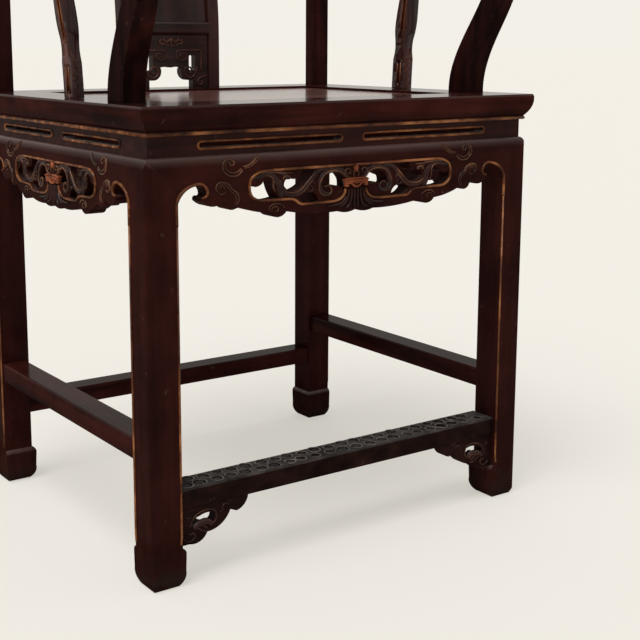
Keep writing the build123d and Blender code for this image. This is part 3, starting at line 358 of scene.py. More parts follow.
def lacquer(name, finish):
    # lacquered hardwood with its grain along one axis
    made, madeNodes, links = bareMaterial(name)
    tree = made.node_tree
    out = madeNodes.new("ShaderNodeOutputMaterial")
    body = madeNodes.new("ShaderNodeBsdfPrincipled")
    body.inputs["Specular IOR Level"].default_value = finish["shine"]
    body.inputs["Coat Roughness"].default_value = finish["coatRough"]
    place = madeNodes.new("ShaderNodeTexCoord")
    mapping = madeNodes.new("ShaderNodeMapping")
    stretch = [finish["grainLength"] if axis == finish["along"] else 1 for axis in "xyz"]
    mapping.inputs["Scale"].default_value = stretch
    links.new(place.outputs["Object"], mapping.inputs["Vector"])
    wood = placedGroup(tree, grain, {})
    links.new(mapping.outputs["Vector"], wood.inputs["Vector"])
    woodColours = (finish["dark"], finish["middle"], finish["red"])
    base = rampNode(tree, wood.outputs["Streak"], tuple(zip(lacquerMix["streaksAt"], woodColours)))
    clouds = rampNode(tree, wood.outputs["Clouds"], lacquerMix["clouds"])
    base = mixColour(tree, 1.0, base, clouds, "MULTIPLY")
    marks = placedGroup(tree, scuff, {"Scuffs": finish["scuffs"]})
    base = mixColour(tree, marks.outputs["Scuff"], base, finish["scuffed"])
    base = mixColour(tree, marks.outputs["Dust"], base, finish["dust"])
    edge = placedGroup(tree, wear, {
        "Width": finish["edge"], "Amount": finish["wear"], "Nicks": finish["nicks"],
    })
    # faces that turn up take a lighter colour: a painted highlight and painted reflection on the
    # tops
    if "paintedTopSheen" in finish:
        top = rampNode(tree, wood.outputs["Streak"], finish["paintedTopSheen"])
        base = mixColour(tree, edge.outputs["Upward"], base, top)
    split = madeNodes.new("ShaderNodeSeparateXYZ")
    links.new(place.outputs["Object"], split.inputs["Vector"])
    low = mathNode(tree, "LESS_THAN", split.outputs["Z"], finish["wearBelow"])
    worn = mathNode(tree, "MULTIPLY", edge.outputs["Mask"], low)
    base = mixColour(tree, worn, base, finish["worn"])
    links.new(base, body.inputs["Base Color"])
    cloudRough = mathNode(tree, "MULTIPLY", wood.outputs["Clouds"], lacquerMix["cloudRough"])
    streakRough = mathNode(tree, "MULTIPLY", wood.outputs["Streak"], lacquerMix["streakRough"])
    dustRough = mathNode(tree, "MULTIPLY", marks.outputs["Dust"], lacquerMix["dustRough"])
    rough = mathNode(tree, "ADD", cloudRough, streakRough)
    rough = mathNode(tree, "ADD", rough, finish["rough"] - lacquerMix["meanRough"])
    links.new(mathNode(tree, "ADD", rough, dustRough, True), body.inputs["Roughness"])
    dulled = mathNode(tree, "MULTIPLY", marks.outputs["Dust"], lacquerMix["dustDulls"])
    polish = mathNode(tree, "MULTIPLY", edge.outputs["Upward"], finish["coat"] - finish["coatLow"])
    polish = mathNode(tree, "ADD", polish, finish["coatLow"])
    links.new(mathNode(tree, "SUBTRACT", polish, dulled, True), body.inputs["Coat Weight"])
    bump = madeNodes.new("ShaderNodeBump")
    bump.inputs["Strength"].default_value = finish["texture"]
    bump.inputs["Distance"].default_value = lacquerMix["bumpDistance"]
    pores = mathNode(tree, "MULTIPLY", wood.outputs["Pores"], lacquerMix["poreDepth"])
    scraped = mathNode(tree, "MULTIPLY", marks.outputs["Scuff"], lacquerMix["scuffDepth"])
    height = mathNode(tree, "ADD", pores, wood.outputs["Streak"])
    links.new(mathNode(tree, "SUBTRACT", height, scraped), bump.inputs["Height"])
    links.new(edge.outputs["Normal"], bump.inputs["Normal"])
    links.new(bump.outputs["Normal"], body.inputs["Normal"])
    links.new(body.outputs["BSDF"], out.inputs["Surface"])
    return made


darkWood = {
    "dark": (0.0100, 0.0040, 0.0034),
    "middle": (0.0270, 0.0070, 0.0056),
    "red": (0.0460, 0.0102, 0.0080),
    "worn": (0.090, 0.034, 0.020),
    "scuffed": (0.075, 0.045, 0.038),
    "dust": (0.022, 0.016, 0.013),
    "grainLength": 0.07,
    "rough": 0.45,
    "shine": 0.0,
    "coat": 0.75,       # lacquer on the upper faces, rubbed to a gloss
    "coatLow": 0.04,    # and on the upright ones, worn dull
    "coatRough": 0.16,
    "wear": 0.4,
    "edge": 0.0018,
    "nicks": 0.9,
    "wearBelow": 9.0,   # height above which the edges aren't worn
    "scuffs": 0.7,
    "texture": 0.22,
}
blackWood = dict(
    darkWood, dark=(0.0070, 0.0034, 0.0030), middle=(0.0140, 0.0060, 0.0050),
    red=(0.0230, 0.0088, 0.0072),
)
apronLook = dict(
    darkWood, dark=(0.0190, 0.0056, 0.0046), red=(0.0360, 0.0088, 0.0068), coat=0.62,
    # the rounded tops are painted pale pinkish grey: a painted highlight where they turn up to the
    # light
    paintedTopSheen=((0.34, (0.048, 0.024, 0.021)), (0.68, (0.105, 0.060, 0.053))),
    wear=0.0, edge=0.0006, nicks=0.25,
)
# lighter and greyer than the other wood: a painted sheen on the splat and a painted highlight on
# its rounded cross rail
splatSheenLook = dict(
    darkWood, dark=(0.016, 0.0080, 0.0072), middle=(0.036, 0.0145, 0.0125),
    red=(0.056, 0.0190, 0.0160), coatLow=0.3, coatRough=0.2,
)
# beads and the rims of carving, where the lacquer is rubbed through; the rims' lighter colour is
# partly also a painted highlight along their raised edges
beadLook = dict(
    darkWood, dark=(0.030, 0.009, 0.005), middle=(0.140, 0.046, 0.016), red=(0.390, 0.160, 0.060),
    worn=(0.50, 0.28, 0.14), wear=0.5, edge=0.0006, coat=0.5, coatLow=0.2, grainLength=0.4,
)
rimLook = dict(
    darkWood, dark=(0.020, 0.007, 0.005), middle=(0.075, 0.028, 0.014), red=(0.200, 0.090, 0.042),
    worn=(0.34, 0.19, 0.11), wear=0.6, edge=0.0006, coat=0.6, coatLow=0.3, grainLength=0.5,
)
softRimLook = dict(rimLook, wear=0.5, coat=0.5)

lacquerX, lacquerY, lacquerZ = (
    lacquer("lacquerAlong" + axis.upper(), dict(darkWood, along=axis)) for axis in "xyz"
)
apronX, apronY = (
    lacquer("apronAlong" + axis.upper(), dict(apronLook, along=axis)) for axis in "xy"
)
legWood = lacquer("legUpright", dict(
    apronLook, along="z", wear=0.55, nicks=1.0, edge=0.0013, worn=(0.085, 0.050, 0.046),
    wearBelow=0.385,
))
stretcherX, stretcherY = (
    lacquer("stretcherAlong" + axis.upper(), dict(darkWood, along=axis, coat=0.22)) for axis in "xy"
)
splatX, splatZ = (
    lacquer("splatAlong" + axis.upper(), dict(splatSheenLook, along=axis)) for axis in "xz"
)
splatPanelWood = lacquer("splatPanelLacquer", dict(
    darkWood, along="z", middle=(0.024, 0.0085, 0.0075), red=(0.040, 0.012, 0.010), coatLow=0.55,
    coatRough=0.22, texture=0.1,
))
# a darker copy of the lacquer for the front posts: painted shade on them
frontPostShadedWood = lacquer("frontPostShadedLacquer", dict(
    darkWood, along="z", dark=(0.0062, 0.0030, 0.0026), middle=(0.0150, 0.0050, 0.0042),
    red=(0.0290, 0.0074, 0.0060), coatLow=0.03,
))
# brighter red streaks on the side posts: a painted highlight for the red glow on their rounded
# edges
sidePostWood = lacquer("sidePostLacquer", dict(
    darkWood, along="z", middle=(0.0300, 0.0072, 0.0056), red=(0.1000, 0.0170, 0.0095),
    coatLow=0.45, coatRough=0.2,
))
panelWood = lacquer("panelLacquer", dict(
    darkWood, along="x", dark=(0.045, 0.020, 0.016), middle=(0.115, 0.053, 0.045),
    red=(0.190, 0.088, 0.072), wear=0.3, coat=0.86, coatRough=0.17, texture=0.08,
))
waistWood = lacquer("waistLacquer", dict(
    # the slot floors, which face up, are painted pale grey: a painted reflection of the light
    # through the slots
    darkWood, along="x", paintedTopSheen=((0.34, (0.20, 0.175, 0.16)), (0.68, (0.42, 0.38, 0.35))),
    coat=0.1, coatLow=0.12,
))
treadWood = lacquer("treadLacquer", dict(
    blackWood, along="x", worn=(0.12, 0.085, 0.06), wear=0.8, edge=0.001, rough=0.5, coat=0.10,
    # the footrest's top is painted grey: a painted reflection of the pale surroundings
    paintedTopSheen=(
        (0.34, (0.018, 0.015, 0.014)), (0.5, (0.042, 0.036, 0.033)), (0.68, (0.085, 0.073, 0.067)),
    ),
    grainLength=0.5,
))
# pale grey rings: a painted highlight on the rims of the hollows
ringWood = lacquer("treadRings", dict(
    darkWood, along="x", dark=(0.034, 0.028, 0.026), middle=(0.110, 0.093, 0.085),
    red=(0.220, 0.190, 0.176), worn=(0.28, 0.24, 0.21), edge=0.0006, coat=0.4, grainLength=0.8,
))
# darker discs inside the rings: painted shade of their hollows
pitShadeWood = lacquer("treadPitShade", dict(
    darkWood, along="x", dark=(0.010, 0.0085, 0.008), middle=(0.027, 0.023, 0.021),
    red=(0.056, 0.048, 0.044), wear=0.0, nicks=0.0, coat=0.10, grainLength=0.8,
))
bracketWood = lacquer("bracketLacquer", dict(blackWood, along="x", coat=0.08))
beadWood = lacquer("wornBead", dict(beadLook, along="x"))
beadWoodZ = lacquer("wornBeadUpright", dict(beadLook, along="z"))
# the carving's edges are lighter: partly rubbed wear, partly a painted highlight along them
carvedWood = lacquer("carvedLacquer", dict(
    darkWood, along="x", middle=(0.024, 0.0075, 0.006), red=(0.045, 0.014, 0.010),
    worn=(0.12, 0.045, 0.024), wear=0.8, edge=0.001, coat=0.6, coatLow=0.24, coatRough=0.2,
    grainLength=0.5,
))
knotWood = lacquer("knotLacquer", dict(
    darkWood, along="x", dark=(0.110, 0.026, 0.011), middle=(0.270, 0.072, 0.028),
    red=(0.430, 0.150, 0.062), worn=(0.50, 0.24, 0.13), wear=0.5, edge=0.0008, coat=0.4,
    coatLow=0.2, grainLength=0.5,
))
# the rims and the lines of the bracket and the splat are lighter than the wood round them: partly
# worn lacquer, partly a painted highlight along their raised edges
rimWood = lacquer("carvedRims", dict(rimLook, along="x"))
darkRims = lacquer("darkRims", dict(
    softRimLook, along="x", dark=(0.012, 0.005, 0.004), middle=(0.040, 0.016, 0.011),
    red=(0.105, 0.038, 0.024), worn=(0.18, 0.09, 0.06), coatLow=0.25,
))
splatBloom = lacquer("splatBloom", dict(
    softRimLook, along="x", dark=(0.045, 0.014, 0.010), middle=(0.125, 0.042, 0.028),
    red=(0.270, 0.100, 0.064), worn=(0.40, 0.22, 0.15),
))
splatLines = lacquer("splatLines", dict(
    softRimLook, along="x", dark=(0.036, 0.013, 0.009), middle=(0.090, 0.032, 0.020),
    red=(0.180, 0.072, 0.044), worn=(0.30, 0.16, 0.11),
))
print("materials ready")

# what each kind of piece is finished with where it is longest along X, along Y or upwards
finishes = (
    ("apron", (apronX, apronY, legWood)),
    ("leg", (apronX, apronY, legWood)),
    ("waist", (waistWood,) * 3),
    ("splat_panel", (splatPanelWood,) * 3),
    ("splat", (splatX, splatX, splatZ)),
    ("spandrel", (bracketWood,) * 3),
    ("post_side", (sidePostWood,) * 3),
    ("post_front", (frontPostShadedWood,) * 3),
    ("stretcher", (stretcherX, stretcherY)),
    ("seat_panel", (panelWood,) * 3),
    ("footrest", (treadWood,) * 3),
    ("", (lacquerX, lacquerY, lacquerZ)),
)
for name, node in nodes.items():
    longest = max(range(3), key=lambda axis: node.dimensions[axis])
    finish = next(woods[longest] for start, woods in finishes if name.startswith(start))
    node.data.materials.clear()
    node.data.materials.append(finish)
print("nodes dressed")

touching = 1e-6     # corners closer than this are one


def mergedCopy(name):
    bm = bmesh.new()
    bm.from_mesh(nodes[name].data)
    bmesh.ops.remove_doubles(bm, verts=bm.verts, dist=touching)
    return bm


def cutAcross(bm, level):
    everything = bm.verts[:] + bm.edges[:] + bm.faces[:]
    bmesh.ops.bisect_plane(
        bm, geom=everything, dist=touching, plane_co=(0, 0, level), plane_no=(0, 0, 1),
    )


def standIn(bm, label, name):
    # a reshaped copy that takes the node's place, in the node's own finish
    mesh = bpy.data.meshes.new(label)
    bm.to_mesh(mesh)
    bm.free()
    mesh.materials.append(nodes[name].data.materials[0])
    made = linkedObject(label, mesh)
    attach(made, "root")
    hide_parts(name)


# the aprons and legs with their top edges rounded back to the waist
shoulder = {
    "top": 0.467,
    "rise": 0.014,
    "depth": 0.0062,
    "steps": 7,
    "faceX": 0.268,
    "faceY": 0.224,
    "margin": 0.0004,
    "smoothAngle": 28,
    "openAngle": 3.0,     # taken for an edge that has one face only
}


def shoulderDrop(height):
    # how far the rounded shoulder falls back from the face at this height
    reach = (height - shoulder["top"] + shoulder["rise"]) / shoulder["rise"]
    if reach <= 0:
        return 0.0
    return shoulder["depth"] * (1 - math.sqrt(max(0.0, 1 - min(reach, 1) ** 2)))


for name in [each for each in nodes if each.startswith(("apron", "leg"))]:
    bm = mergedCopy(name)
    for step in range(shoulder["steps"]):
        climb = math.sin(math.radians(90 * step / shoulder["steps"]))
        cutAcross(bm, shoulder["top"] - shoulder["rise"] + shoulder["rise"] * climb)
    for vert in bm.verts:
        drop = shoulderDrop(vert.co.z)
        if not drop:
            continue
        for axis, faceAt in ((0, shoulder["faceX"]), (1, shoulder["faceY"])):
            reach = abs(vert.co[axis])
            if faceAt - shoulder["depth"] - shoulder["margin"] < reach:
                vert.co[axis] = math.copysign(min(reach, faceAt - drop), vert.co[axis])
    for face in bm.faces:
        face.smooth = True
    sharpFrom = math.radians(shoulder["smoothAngle"])
    for edge in bm.edges:
        edge.smooth = edge.calc_face_angle(shoulder["openAngle"]) < sharpFrom
    standIn(bm, name + "_rounded", name)
print("top edges rounded")

# the faces that carry carving: directions across, up and out, and a point on the face
faces = {
    "front": ((1, 0, 0), (0, 0, 1), (0, -1, 0), (0, -0.224, 0)),
    "left": ((0, -1, 0), (0, 0, 1), (-1, 0, 0), (-0.268, 0, 0)),
    "right": ((0, 1, 0), (0, 0, 1), (1, 0, 0), (0.268, 0, 0)),
    "waist_front": ((1, 0, 0), (0, 0, 1), (0, -1, 0), (0, -0.2175, 0)),
    "waist_rear": ((-1, 0, 0), (0, 0, 1), (0, 1, 0), (0, 0.2175, 0)),
    "waist_left": ((0, -1, 0), (0, 0, 1), (-1, 0, 0), (-0.2615, 0, 0)),
    "waist_right": ((0, 1, 0), (0, 0, 1), (1, 0, 0), (0.2615, 0, 0)),
    "bead": ((1, 0, 0), (0, 1, 0), (0, 0, 1), (0, 0, 0.4909)),
    "tread": ((1, 0, 0), (0, 1, 0), (0, 0, 1), (0, 0, 0.108)),
    "spandrel": ((1, 0, 0), (0, 0, 1), (0, -1, 0), (0, -0.2178, 0)),
    "splat": ((1, 0, 0), (0, 0, 1), (0, -1, 0), (0, 0.1975, 0)),
}


def faceMatrix(name):
    across, up, out, origin = faces[name]
    return Matrix((
        (across[0], up[0], out[0], origin[0]),
        (across[1], up[1], out[1], origin[1]),
        (across[2], up[2], out[2], origin[2]),
        (0, 0, 0, 1),
    ))


def flowing(marks, closed=False, steps=5):
    # smooth run through marks of (across, up, width) in millimetres
    run = []
    count = len(marks)
    spans = count if closed else count - 1
    for start in range(spans):
        near = [start + shift for shift in (-1, 0, 1, 2)]
        if not closed:
            near = [min(max(at, 0), count - 1) for at in near]
        a, b, c, d = (Vector(marks[at % count]) for at in near)
        for step in range(steps):
            t = step / steps
            run.append(0.5 * (
                2 * b + (c - a) * t + (2 * a - 5 * b + 4 * c - d) * t * t
                + (3 * b - a - 3 * c + d) * t * t * t
            ))
    if not closed:
        run.append(Vector(marks[-1]))
    return run


# a stroke narrower than fullWidth is lower too; the surface of a curved piece is looked for from
# feelFrom outside the face, as far in as feelReach
chisel = {"thinnest": 0.4, "fullWidth": 2.0, "feelFrom": 0.1, "feelReach": 0.8}
millimetre = 0.001     # what the strokes' marks and heights are measured in


def carve(bm, marks, height, closed=False, steps=5, sides=8):
    # one raised stroke: a ring pulled along the marks, as wide as they say
    run = flowing(marks, closed, steps)
    stations = []
    for at, spot in enumerate(run):
        before = run[at - 1] if closed or at else spot
        after = run[(at + 1) % len(run)] if closed or at + 1 < len(run) else spot
        heading = Vector((after.x - before.x, after.y - before.y, 0)).normalized()
        side = Vector((-heading.y, heading.x, 0))
        fullness = min(1.0, max(spot.z, chisel["thinnest"]) / chisel["fullWidth"])
        stations.append(Matrix((
            (side.x * spot.z / 2, 0, heading.x, spot.x),
            (side.y * spot.z / 2, 0, heading.y, spot.y),
            (0, height * fullness, 0, 0),
            (0, 0, 0, 1),
        )))
    ring = bmesh.ops.create_circle(
        bm, cap_ends=not closed, segments=sides, radius=1, matrix=stations[0],
    )["verts"]
    edges = list({edge for vert in ring for edge in vert.link_edges})
    opening = edges
    for last, station in zip(stations, stations[1:]):
        grown = bmesh.ops.extrude_edge_only(bm, edges=edges)["geom"]
        fresh = [part for part in grown if isinstance(part, bmesh.types.BMVert)]
        edges = [part for part in grown if isinstance(part, bmesh.types.BMEdge)
                 and part.verts[0] in fresh and part.verts[1] in fresh]
        bmesh.ops.transform(bm, matrix=station @ last.inverted(), verts=fresh)
    if closed:
        bmesh.ops.bridge_loops(bm, edges=opening + edges)
    else:
        bmesh.ops.holes_fill(bm, edges=edges, sides=0)
    bmesh.ops.recalc_face_normals(bm, faces=bm.faces)


def carving(name, face, strokes, material, mirrored=True, onto=None):
    # all strokes of one carving, with their twins across the middle, laid onto a curved piece
    # where one is given
    gathered = bmesh.new()
    for stroke in strokes:
        for sign in ((1, -1) if mirrored and not stroke.get("single") else (1,)):
            marks = [(sign * mark[0], mark[1], mark[2] if len(mark) > 2 else stroke["width"])
                     for mark in stroke["marks"]]
            bm = bmesh.new()
            carve(bm, marks, stroke["height"], stroke.get("closed", False), stroke.get("steps", 5),
                  stroke.get("sides", 8))
            part = bpy.data.meshes.new("stroke")
            bm.to_mesh(part)
            bm.free()
            gathered.from_mesh(part)
            bpy.data.meshes.remove(part)
    bmesh.ops.scale(gathered, vec=(millimetre,) * 3, verts=gathered.verts)
    bmesh.ops.transform(gathered, matrix=faceMatrix(face), verts=gathered.verts)
    out = Vector(faces[face][2])
    if onto:
        plane = Vector(faces[face][3]).dot(out)
        hits = [onto.ray_cast(vert.co + out * chisel["feelFrom"], -out, chisel["feelReach"])[0]
                for vert in gathered.verts]
        depths = [hit.dot(out) - plane for hit in hits if hit]
        for vert, hit in zip(gathered.verts, hits):
            vert.co += out * (hit.dot(out) - plane if hit else min(depths))
    elif face in ("front", "left", "right"):
        for vert in gathered.verts:
            vert.co -= out * shoulderDrop(vert.co.z)
    bmesh.ops.recalc_face_normals(gathered, faces=gathered.faces)
    for facet in gathered.faces:
        facet.smooth = True
    mesh = bpy.data.meshes.new(name)
    gathered.to_mesh(mesh)
    gathered.free()
    mesh.materials.append(material)
    made = linkedObject(name, mesh)
    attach(made, "root")


# carving of the aprons, in marks of (across, up, width) in millimetres
scroll = {
    "height": 1.4,
    "rimHeight": 2.1,
    "ribbons": (
        # leaf across the window's end
        ((141, 439.5, 3), (131, 441, 5), (121, 443, 6), (112, 440, 7), (106, 432, 8),
         (104, 424, 8), (101, 417, 4)),
        # small curl above the hooked gap
        ((112, 446, 3), (105, 445, 4.5), (98.5, 441.6, 4.5), (94, 438.4, 4.5), (89.5, 438.6, 3)),
        # long stem that runs up to the middle
        ((102.5, 435.5, 3.5), (102, 428, 5), (98, 422.3, 6), (90.5, 419.6, 6.4), (82, 419.8, 6.4),
         (75, 422.6, 6), (68.5, 427, 6), (62.5, 433, 6), (57, 439.5, 6), (50, 444, 5),
         (40, 445, 3)),
        # large volute beside the knot
        ((12, 434, 4), (16, 440, 5), (23, 443, 5.5), (32, 443.6, 5.5), (42.5, 441, 6),
         (49.0, 434, 6), (50.6, 426, 6), (47, 419.4, 6), (40.5, 416.4, 5.5), (34, 418.4, 4.4),
         (35, 423, 3.2)),
        # small dark spiral between the stem and the volute
        ((58, 428, 1.8), (60, 431.5, 2.6), (64.5, 432, 2.8), (68, 428, 2.8), (67, 423, 2.6),
         (63, 421, 2.4), (60, 423.5, 2.2), (61, 426.6, 2), (63.6, 427, 1.6)),
    ),
    "rims": (
        ((14, 433, 1.8), (18, 438, 2.4), (25, 441.4, 2.8), (33.3, 442.2, 2.8), (41.5, 440.2, 2.8),
         (47.7, 434.8, 2.8), (51.2, 427.6, 2.8), (51.0, 421, 2.6), (47.2, 416.6, 2.4),
         (40.8, 415.2, 2.2), (35.8, 417.6, 2.2), (34.8, 422, 2), (37.8, 425.6, 1.8),
         (41.6, 426, 1.6), (44, 423.6, 1.4)),
        ((99.6, 425.4, 1.6), (93.2, 422.2, 2), (86, 421.4, 2.2), (78.8, 422.8, 2.2),
         (72.5, 427, 2.2), (67.3, 432, 2.2), (62.2, 437, 2), (58.6, 440.4, 1.6)),
        ((84, 418.4, 1.2), (76.4, 419.6, 1.4), (70.2, 423.6, 1.6), (65.6, 429, 1.6),
         (60.4, 434, 1.4)),
        ((122, 442.4, 1.4), (115.6, 440.8, 2), (112.3, 436, 2), (112.6, 430.6, 1.6),
         (110.4, 424, 1.4)),
        ((131, 445, 1.4), (121, 445.4, 1.8), (110, 444.8, 1.8), (98, 443.6, 1.6), (88, 443, 1.2)),
        ((99.6, 436.4, 1.3), (98.4, 439.6, 1.8), (94, 440.4, 1.8), (90.8, 438.4, 1.5),
         (91.8, 436.4, 1.2)),
    ),
}
knot = {
    "height": 3.6,
    "rimHeight": 4.6,
    "stemHeight": 2.52,
    "petalHeight": 2.6,
    "budHeight": 3.2,
    "body": (
        # clasp with square ends and a pointed collar in its middle
        ((0, 429.4, 5), (6, 429.4, 5), (11, 428.4, 6.6), (15.6, 427.4, 8.4)),
        ((11.6, 424.4, 2.6), (13.6, 424.2, 3.4), (15.6, 424.4, 3)),
    ),
    "rims": (
        ((0, 432, 2), (8, 432, 2.2), (14.6, 431.4, 2.4), (16.8, 430, 1.8)),
        ((0, 422.6, 2.8), (3.4, 423.8, 2.6), (6.4, 426.2, 2.2), (10.6, 427, 1.8)),
        ((0, 426.4, 1.8), (3, 427.2, 1.6), (7, 428.2, 1.2)),
    ),
    "bud": ((0, 439.6, 3), (0, 443.6, 7), (0, 447, 3.4)),
    "petals": (
        ((3.2, 433, 1.6), (3.4, 437, 1.8), (3.0, 441, 1.4)),
        ((8, 433.4, 1.8), (13, 434, 2.2), (16, 437.6, 2.2), (15, 442, 2.2), (11, 443.4, 2),
         (8, 440.8, 1.8), (9.6, 437.8, 1.6), (12, 438.6, 1.3)),
    ),
    "stems": (
        ((2.2, 420.6, 3), (2.2, 412, 3.2), (2.4, 403, 3.4), (1.6, 399.4, 2)),
        ((6.2, 420.4, 3), (6.6, 412, 3.4), (8.4, 405, 3.8), (11.6, 400.6, 3.4), (15.6, 399.6, 2)),
        ((10.2, 419.6, 2.4), (11, 412.6, 3.2), (14.4, 406.6, 3.6), (19.6, 402.6, 3.6),
         (25, 401.2, 2)),
        ((13.8, 412, 1.8), (17.4, 407.6, 3), (22.6, 404.8, 3.4), (30, 403.4, 3), (40, 403, 1.6)),
    ),
}
relief = {   # measured inwards from the leg's inner edge
    "height": 1.5,
    "lines": (
        # curled leaf, its rim and the finer line inside it
        ((67.3, 455, 1.4), (68.5, 458.5, 1.8), (65.3, 461.6, 2), (59.8, 462.2, 2.2),
         (55.3, 458.5, 2.4), (54.3, 452.5, 2.4), (58.3, 447, 2.4), (64.3, 444.2, 2.4),
         (71.3, 444.4, 2.4), (76.3, 447.2, 2.2), (78.5, 450, 1.6)),
        ((62.8, 458, 1.2), (64.3, 455.6, 1.4), (67, 456, 1.2)),
        ((58.3, 459, 1.3), (57.3, 454, 1.6), (60.8, 449.6, 1.8), (66.3, 447.5, 1.8),
         (72.3, 448.4, 1.8), (77.3, 451.6, 1.4)),
        ((79.6, 453.5, 1.5), (85.5, 454.5, 2.2), (91.3, 457.4, 2.4), (96.5, 461.6, 2.2),
         (99.6, 464.6, 1.4)),
        ((81.5, 451.8, 1.2), (87.8, 452.9, 1.4), (94, 456.2, 1.4), (99.2, 460.2, 1.3),
         (102.4, 463.6, 1)),
        # cloud beside the hook
        ((49.3, 428, 1.4), (45.8, 431, 1.8), (46.3, 435.4, 2), (50.8, 438.2, 2.2),
         (57.5, 437.6, 2.2), (62.7, 434.4, 2.2), (65.2, 430.4, 2.2), (69.8, 427.8, 2.2),
         (73.6, 423, 2.2), (73.6, 417, 2), (70.3, 412.4, 1.4)),
        ((48.8, 431, 1.2), (49.5, 434.4, 1.4), (53.3, 436.2, 1.5), (58.3, 434.9, 1.5),
         (61.3, 431.6, 1.5), (63.2, 428.6, 1.5), (68, 425.6, 1.5), (70.7, 421.6, 1.5),
         (70.7, 417, 1.4), (68.6, 414, 1)),
        ((50.8, 432.4, 1.1), (52.8, 434.2, 1.3), (55.8, 433.4, 1.3), (56.3, 430.8, 1.1)),
        ((49.3, 426.4, 1.1), (53.8, 425.9, 1.4), (57.8, 427.8, 1.1)),
        # curl over the lower lobe
        ((112.8, 404, 1.3), (113.3, 408, 1.8), (118.3, 410.8, 2), (124.8, 410.8, 2),
         (130.3, 408.6, 1.8), (132.8, 405.4, 1.2)),
        ((116.3, 402.4, 1.1), (116.3, 406, 1.5), (119.8, 407.8, 1.6), (123.8, 406.8, 1.6),
         (124.3, 403.4, 1.4), (121.3, 402, 1)),
    ),
}
# half the clear width, half the window's, the step in its lower edge and how far the relief is
# drawn together
aprons = {
    "front": {"half": 230.5, "window": 142.8, "step": 80, "draw": 1.0},
    "left": {"half": 186.5, "window": 110.5, "step": 64, "draw": 0.88},
    "right": {"half": 186.5, "window": 110.5, "step": 64, "draw": 0.88},
}
stemHalf = 12      # half the width of the stem in the middle
for face, apron in aprons.items():
    half, window, step = apron["half"], apron["window"], apron["step"]
    stretch = (window - stemHalf) / (aprons["front"]["window"] - stemHalf)
    windowBead = {"width": 2.9, "height": 2.1, "marks": [
        (0, 447.3), (window - 45, 447.6), (window - 17, 447), (window - 8.5, 444.6),
        (window - 3, 441), (window - 0.4, 435.5), (window, 428), (window - 2.4, 421.5),
        (window - 8, 417.4), (window - 16, 415.4), (step + 14, 414.8), (step + 6, 414),
        (step + 1, 411.4), (step - 2.5, 408.8), (step - 10, 407.6), (36, 407.6), (25, 408.8),
        (18.5, 412.3), (15.4, 416.6), (14.6, 421, 1.8),
    ]}
    hookBead = {"width": 3.1, "height": 2.0, "marks": [
        (half + 1.4, 396), (half + 1.5, 414), (half + 1.1, 421.5), (half - 2.5, 428.5),
        (half - 8.5, 433.5), (half - 16, 437), (half - 24, 438.6), (half - 30, 437.4),
        (half - 34, 433.6), (half - 35.6, 428.6, 3), (half - 33.4, 424.8, 2.6),
        (half - 29, 423.4, 1.8),
    ]}
    legBead = {"width": 2.3, "height": 1.7, "steps": 1, "marks": [
        (half + 1.4, 398), (half + 1.3, 58), (half + 2.4, 49),
    ]}
    carving(f"apronBeads_{face}", face, [windowBead, hookBead], beadWood)
    carving(f"legBeads_{face}", face, [legBead], beadWoodZ)
    ribbons, rims = [], []
    for strokes, part, height in ((ribbons, "ribbons", "height"), (rims, "rims", "rimHeight")):
        for marks in scroll[part]:
            placed = [(stemHalf + (u - stemHalf) * stretch, v, w * (stretch + 1) / 2)
                      for u, v, w in marks]
            strokes.append({"marks": placed, "height": scroll[height]})
    ribbons += [{"marks": marks, "height": knot["stemHeight"]} for marks in knot["stems"]]
    rims += [{"height": relief["height"], "sides": 6, "steps": 4, "marks": [
        (half - e * apron["draw"], v, w) for e, v, w in marks
    ]} for marks in relief["lines"]]
    rims += [{"height": knot["petalHeight"], "sides": 6, "marks": marks}
             for marks in knot["petals"]]
    carving(f"apronScrolls_{face}", face, ribbons, carvedWood)
    carving(f"apronRims_{face}", face, rims, rimWood)
    clasp = [{"marks": marks, "height": knot["height"]} for marks in knot["body"]]
    clasp += [{"marks": marks, "height": knot["rimHeight"], "sides": 6} for marks in knot["rims"]]
    clasp.append({"marks": knot["bud"], "height": knot["budHeight"], "single": True})
    carving(f"apronKnot_{face}", face, clasp, knotWood)
print("aprons carved")

# scrolls of the corner brackets under the footrest
bracketBody = (
    ((214, 61, 5), (208, 64.5, 7.4), (201, 66.4, 8), (194.5, 65, 7.4), (190.5, 61, 5.6)),
)
bracketRims = (
    ((217.5, 63.5, 1.4), (215.4, 70.5, 1.8), (209.4, 76.2, 2), (201, 79, 2), (193, 79.2, 2),
     (187, 76.4, 2), (184.6, 71, 2), (185.4, 65.4, 1.8), (189.4, 62, 1.6), (195, 63.4, 1.2)),
    ((213, 66.4, 1.2), (205, 64.2, 1.6), (199, 60.2, 1.6), (195.6, 57.4, 1.2)),
    ((211, 61.4, 1.1), (206, 59, 1.4), (202.6, 55.6, 1.1)),
    ((179.4, 72.4, 1.1), (176.4, 75, 1.4), (176.4, 79, 1.6), (172, 81.4, 1.6), (168.6, 79.4, 1.2)),
    ((223, 76.4, 1.1), (220.4, 74.2, 1.4), (216.6, 74.6, 1.1)),
    ((226, 51.4, 1.1), (221, 47.6, 1.5), (214.6, 48, 1.6), (211.6, 52, 1.6), (214.4, 55.8, 1.5),
     (218.8, 54.4, 1.2)),
    ((201, 56.4, 1.1), (197.4, 54.2, 1.4), (193.6, 55.4, 1.2)),
    ((170, 86.6, 1.0), (166.4, 83.6, 1.3), (160.8, 84.6, 1.1)),
)
bracketHeights = {"body": 3.0, "rims": 1.4}
carving("bracketScrolls", "spandrel", [
    {"marks": marks, "height": bracketHeights["body"]} for marks in bracketBody
], carvedWood)
carving("bracketRims", "spandrel", [
    {"marks": marks, "height": bracketHeights["rims"], "sides": 6} for marks in bracketRims
], darkRims)

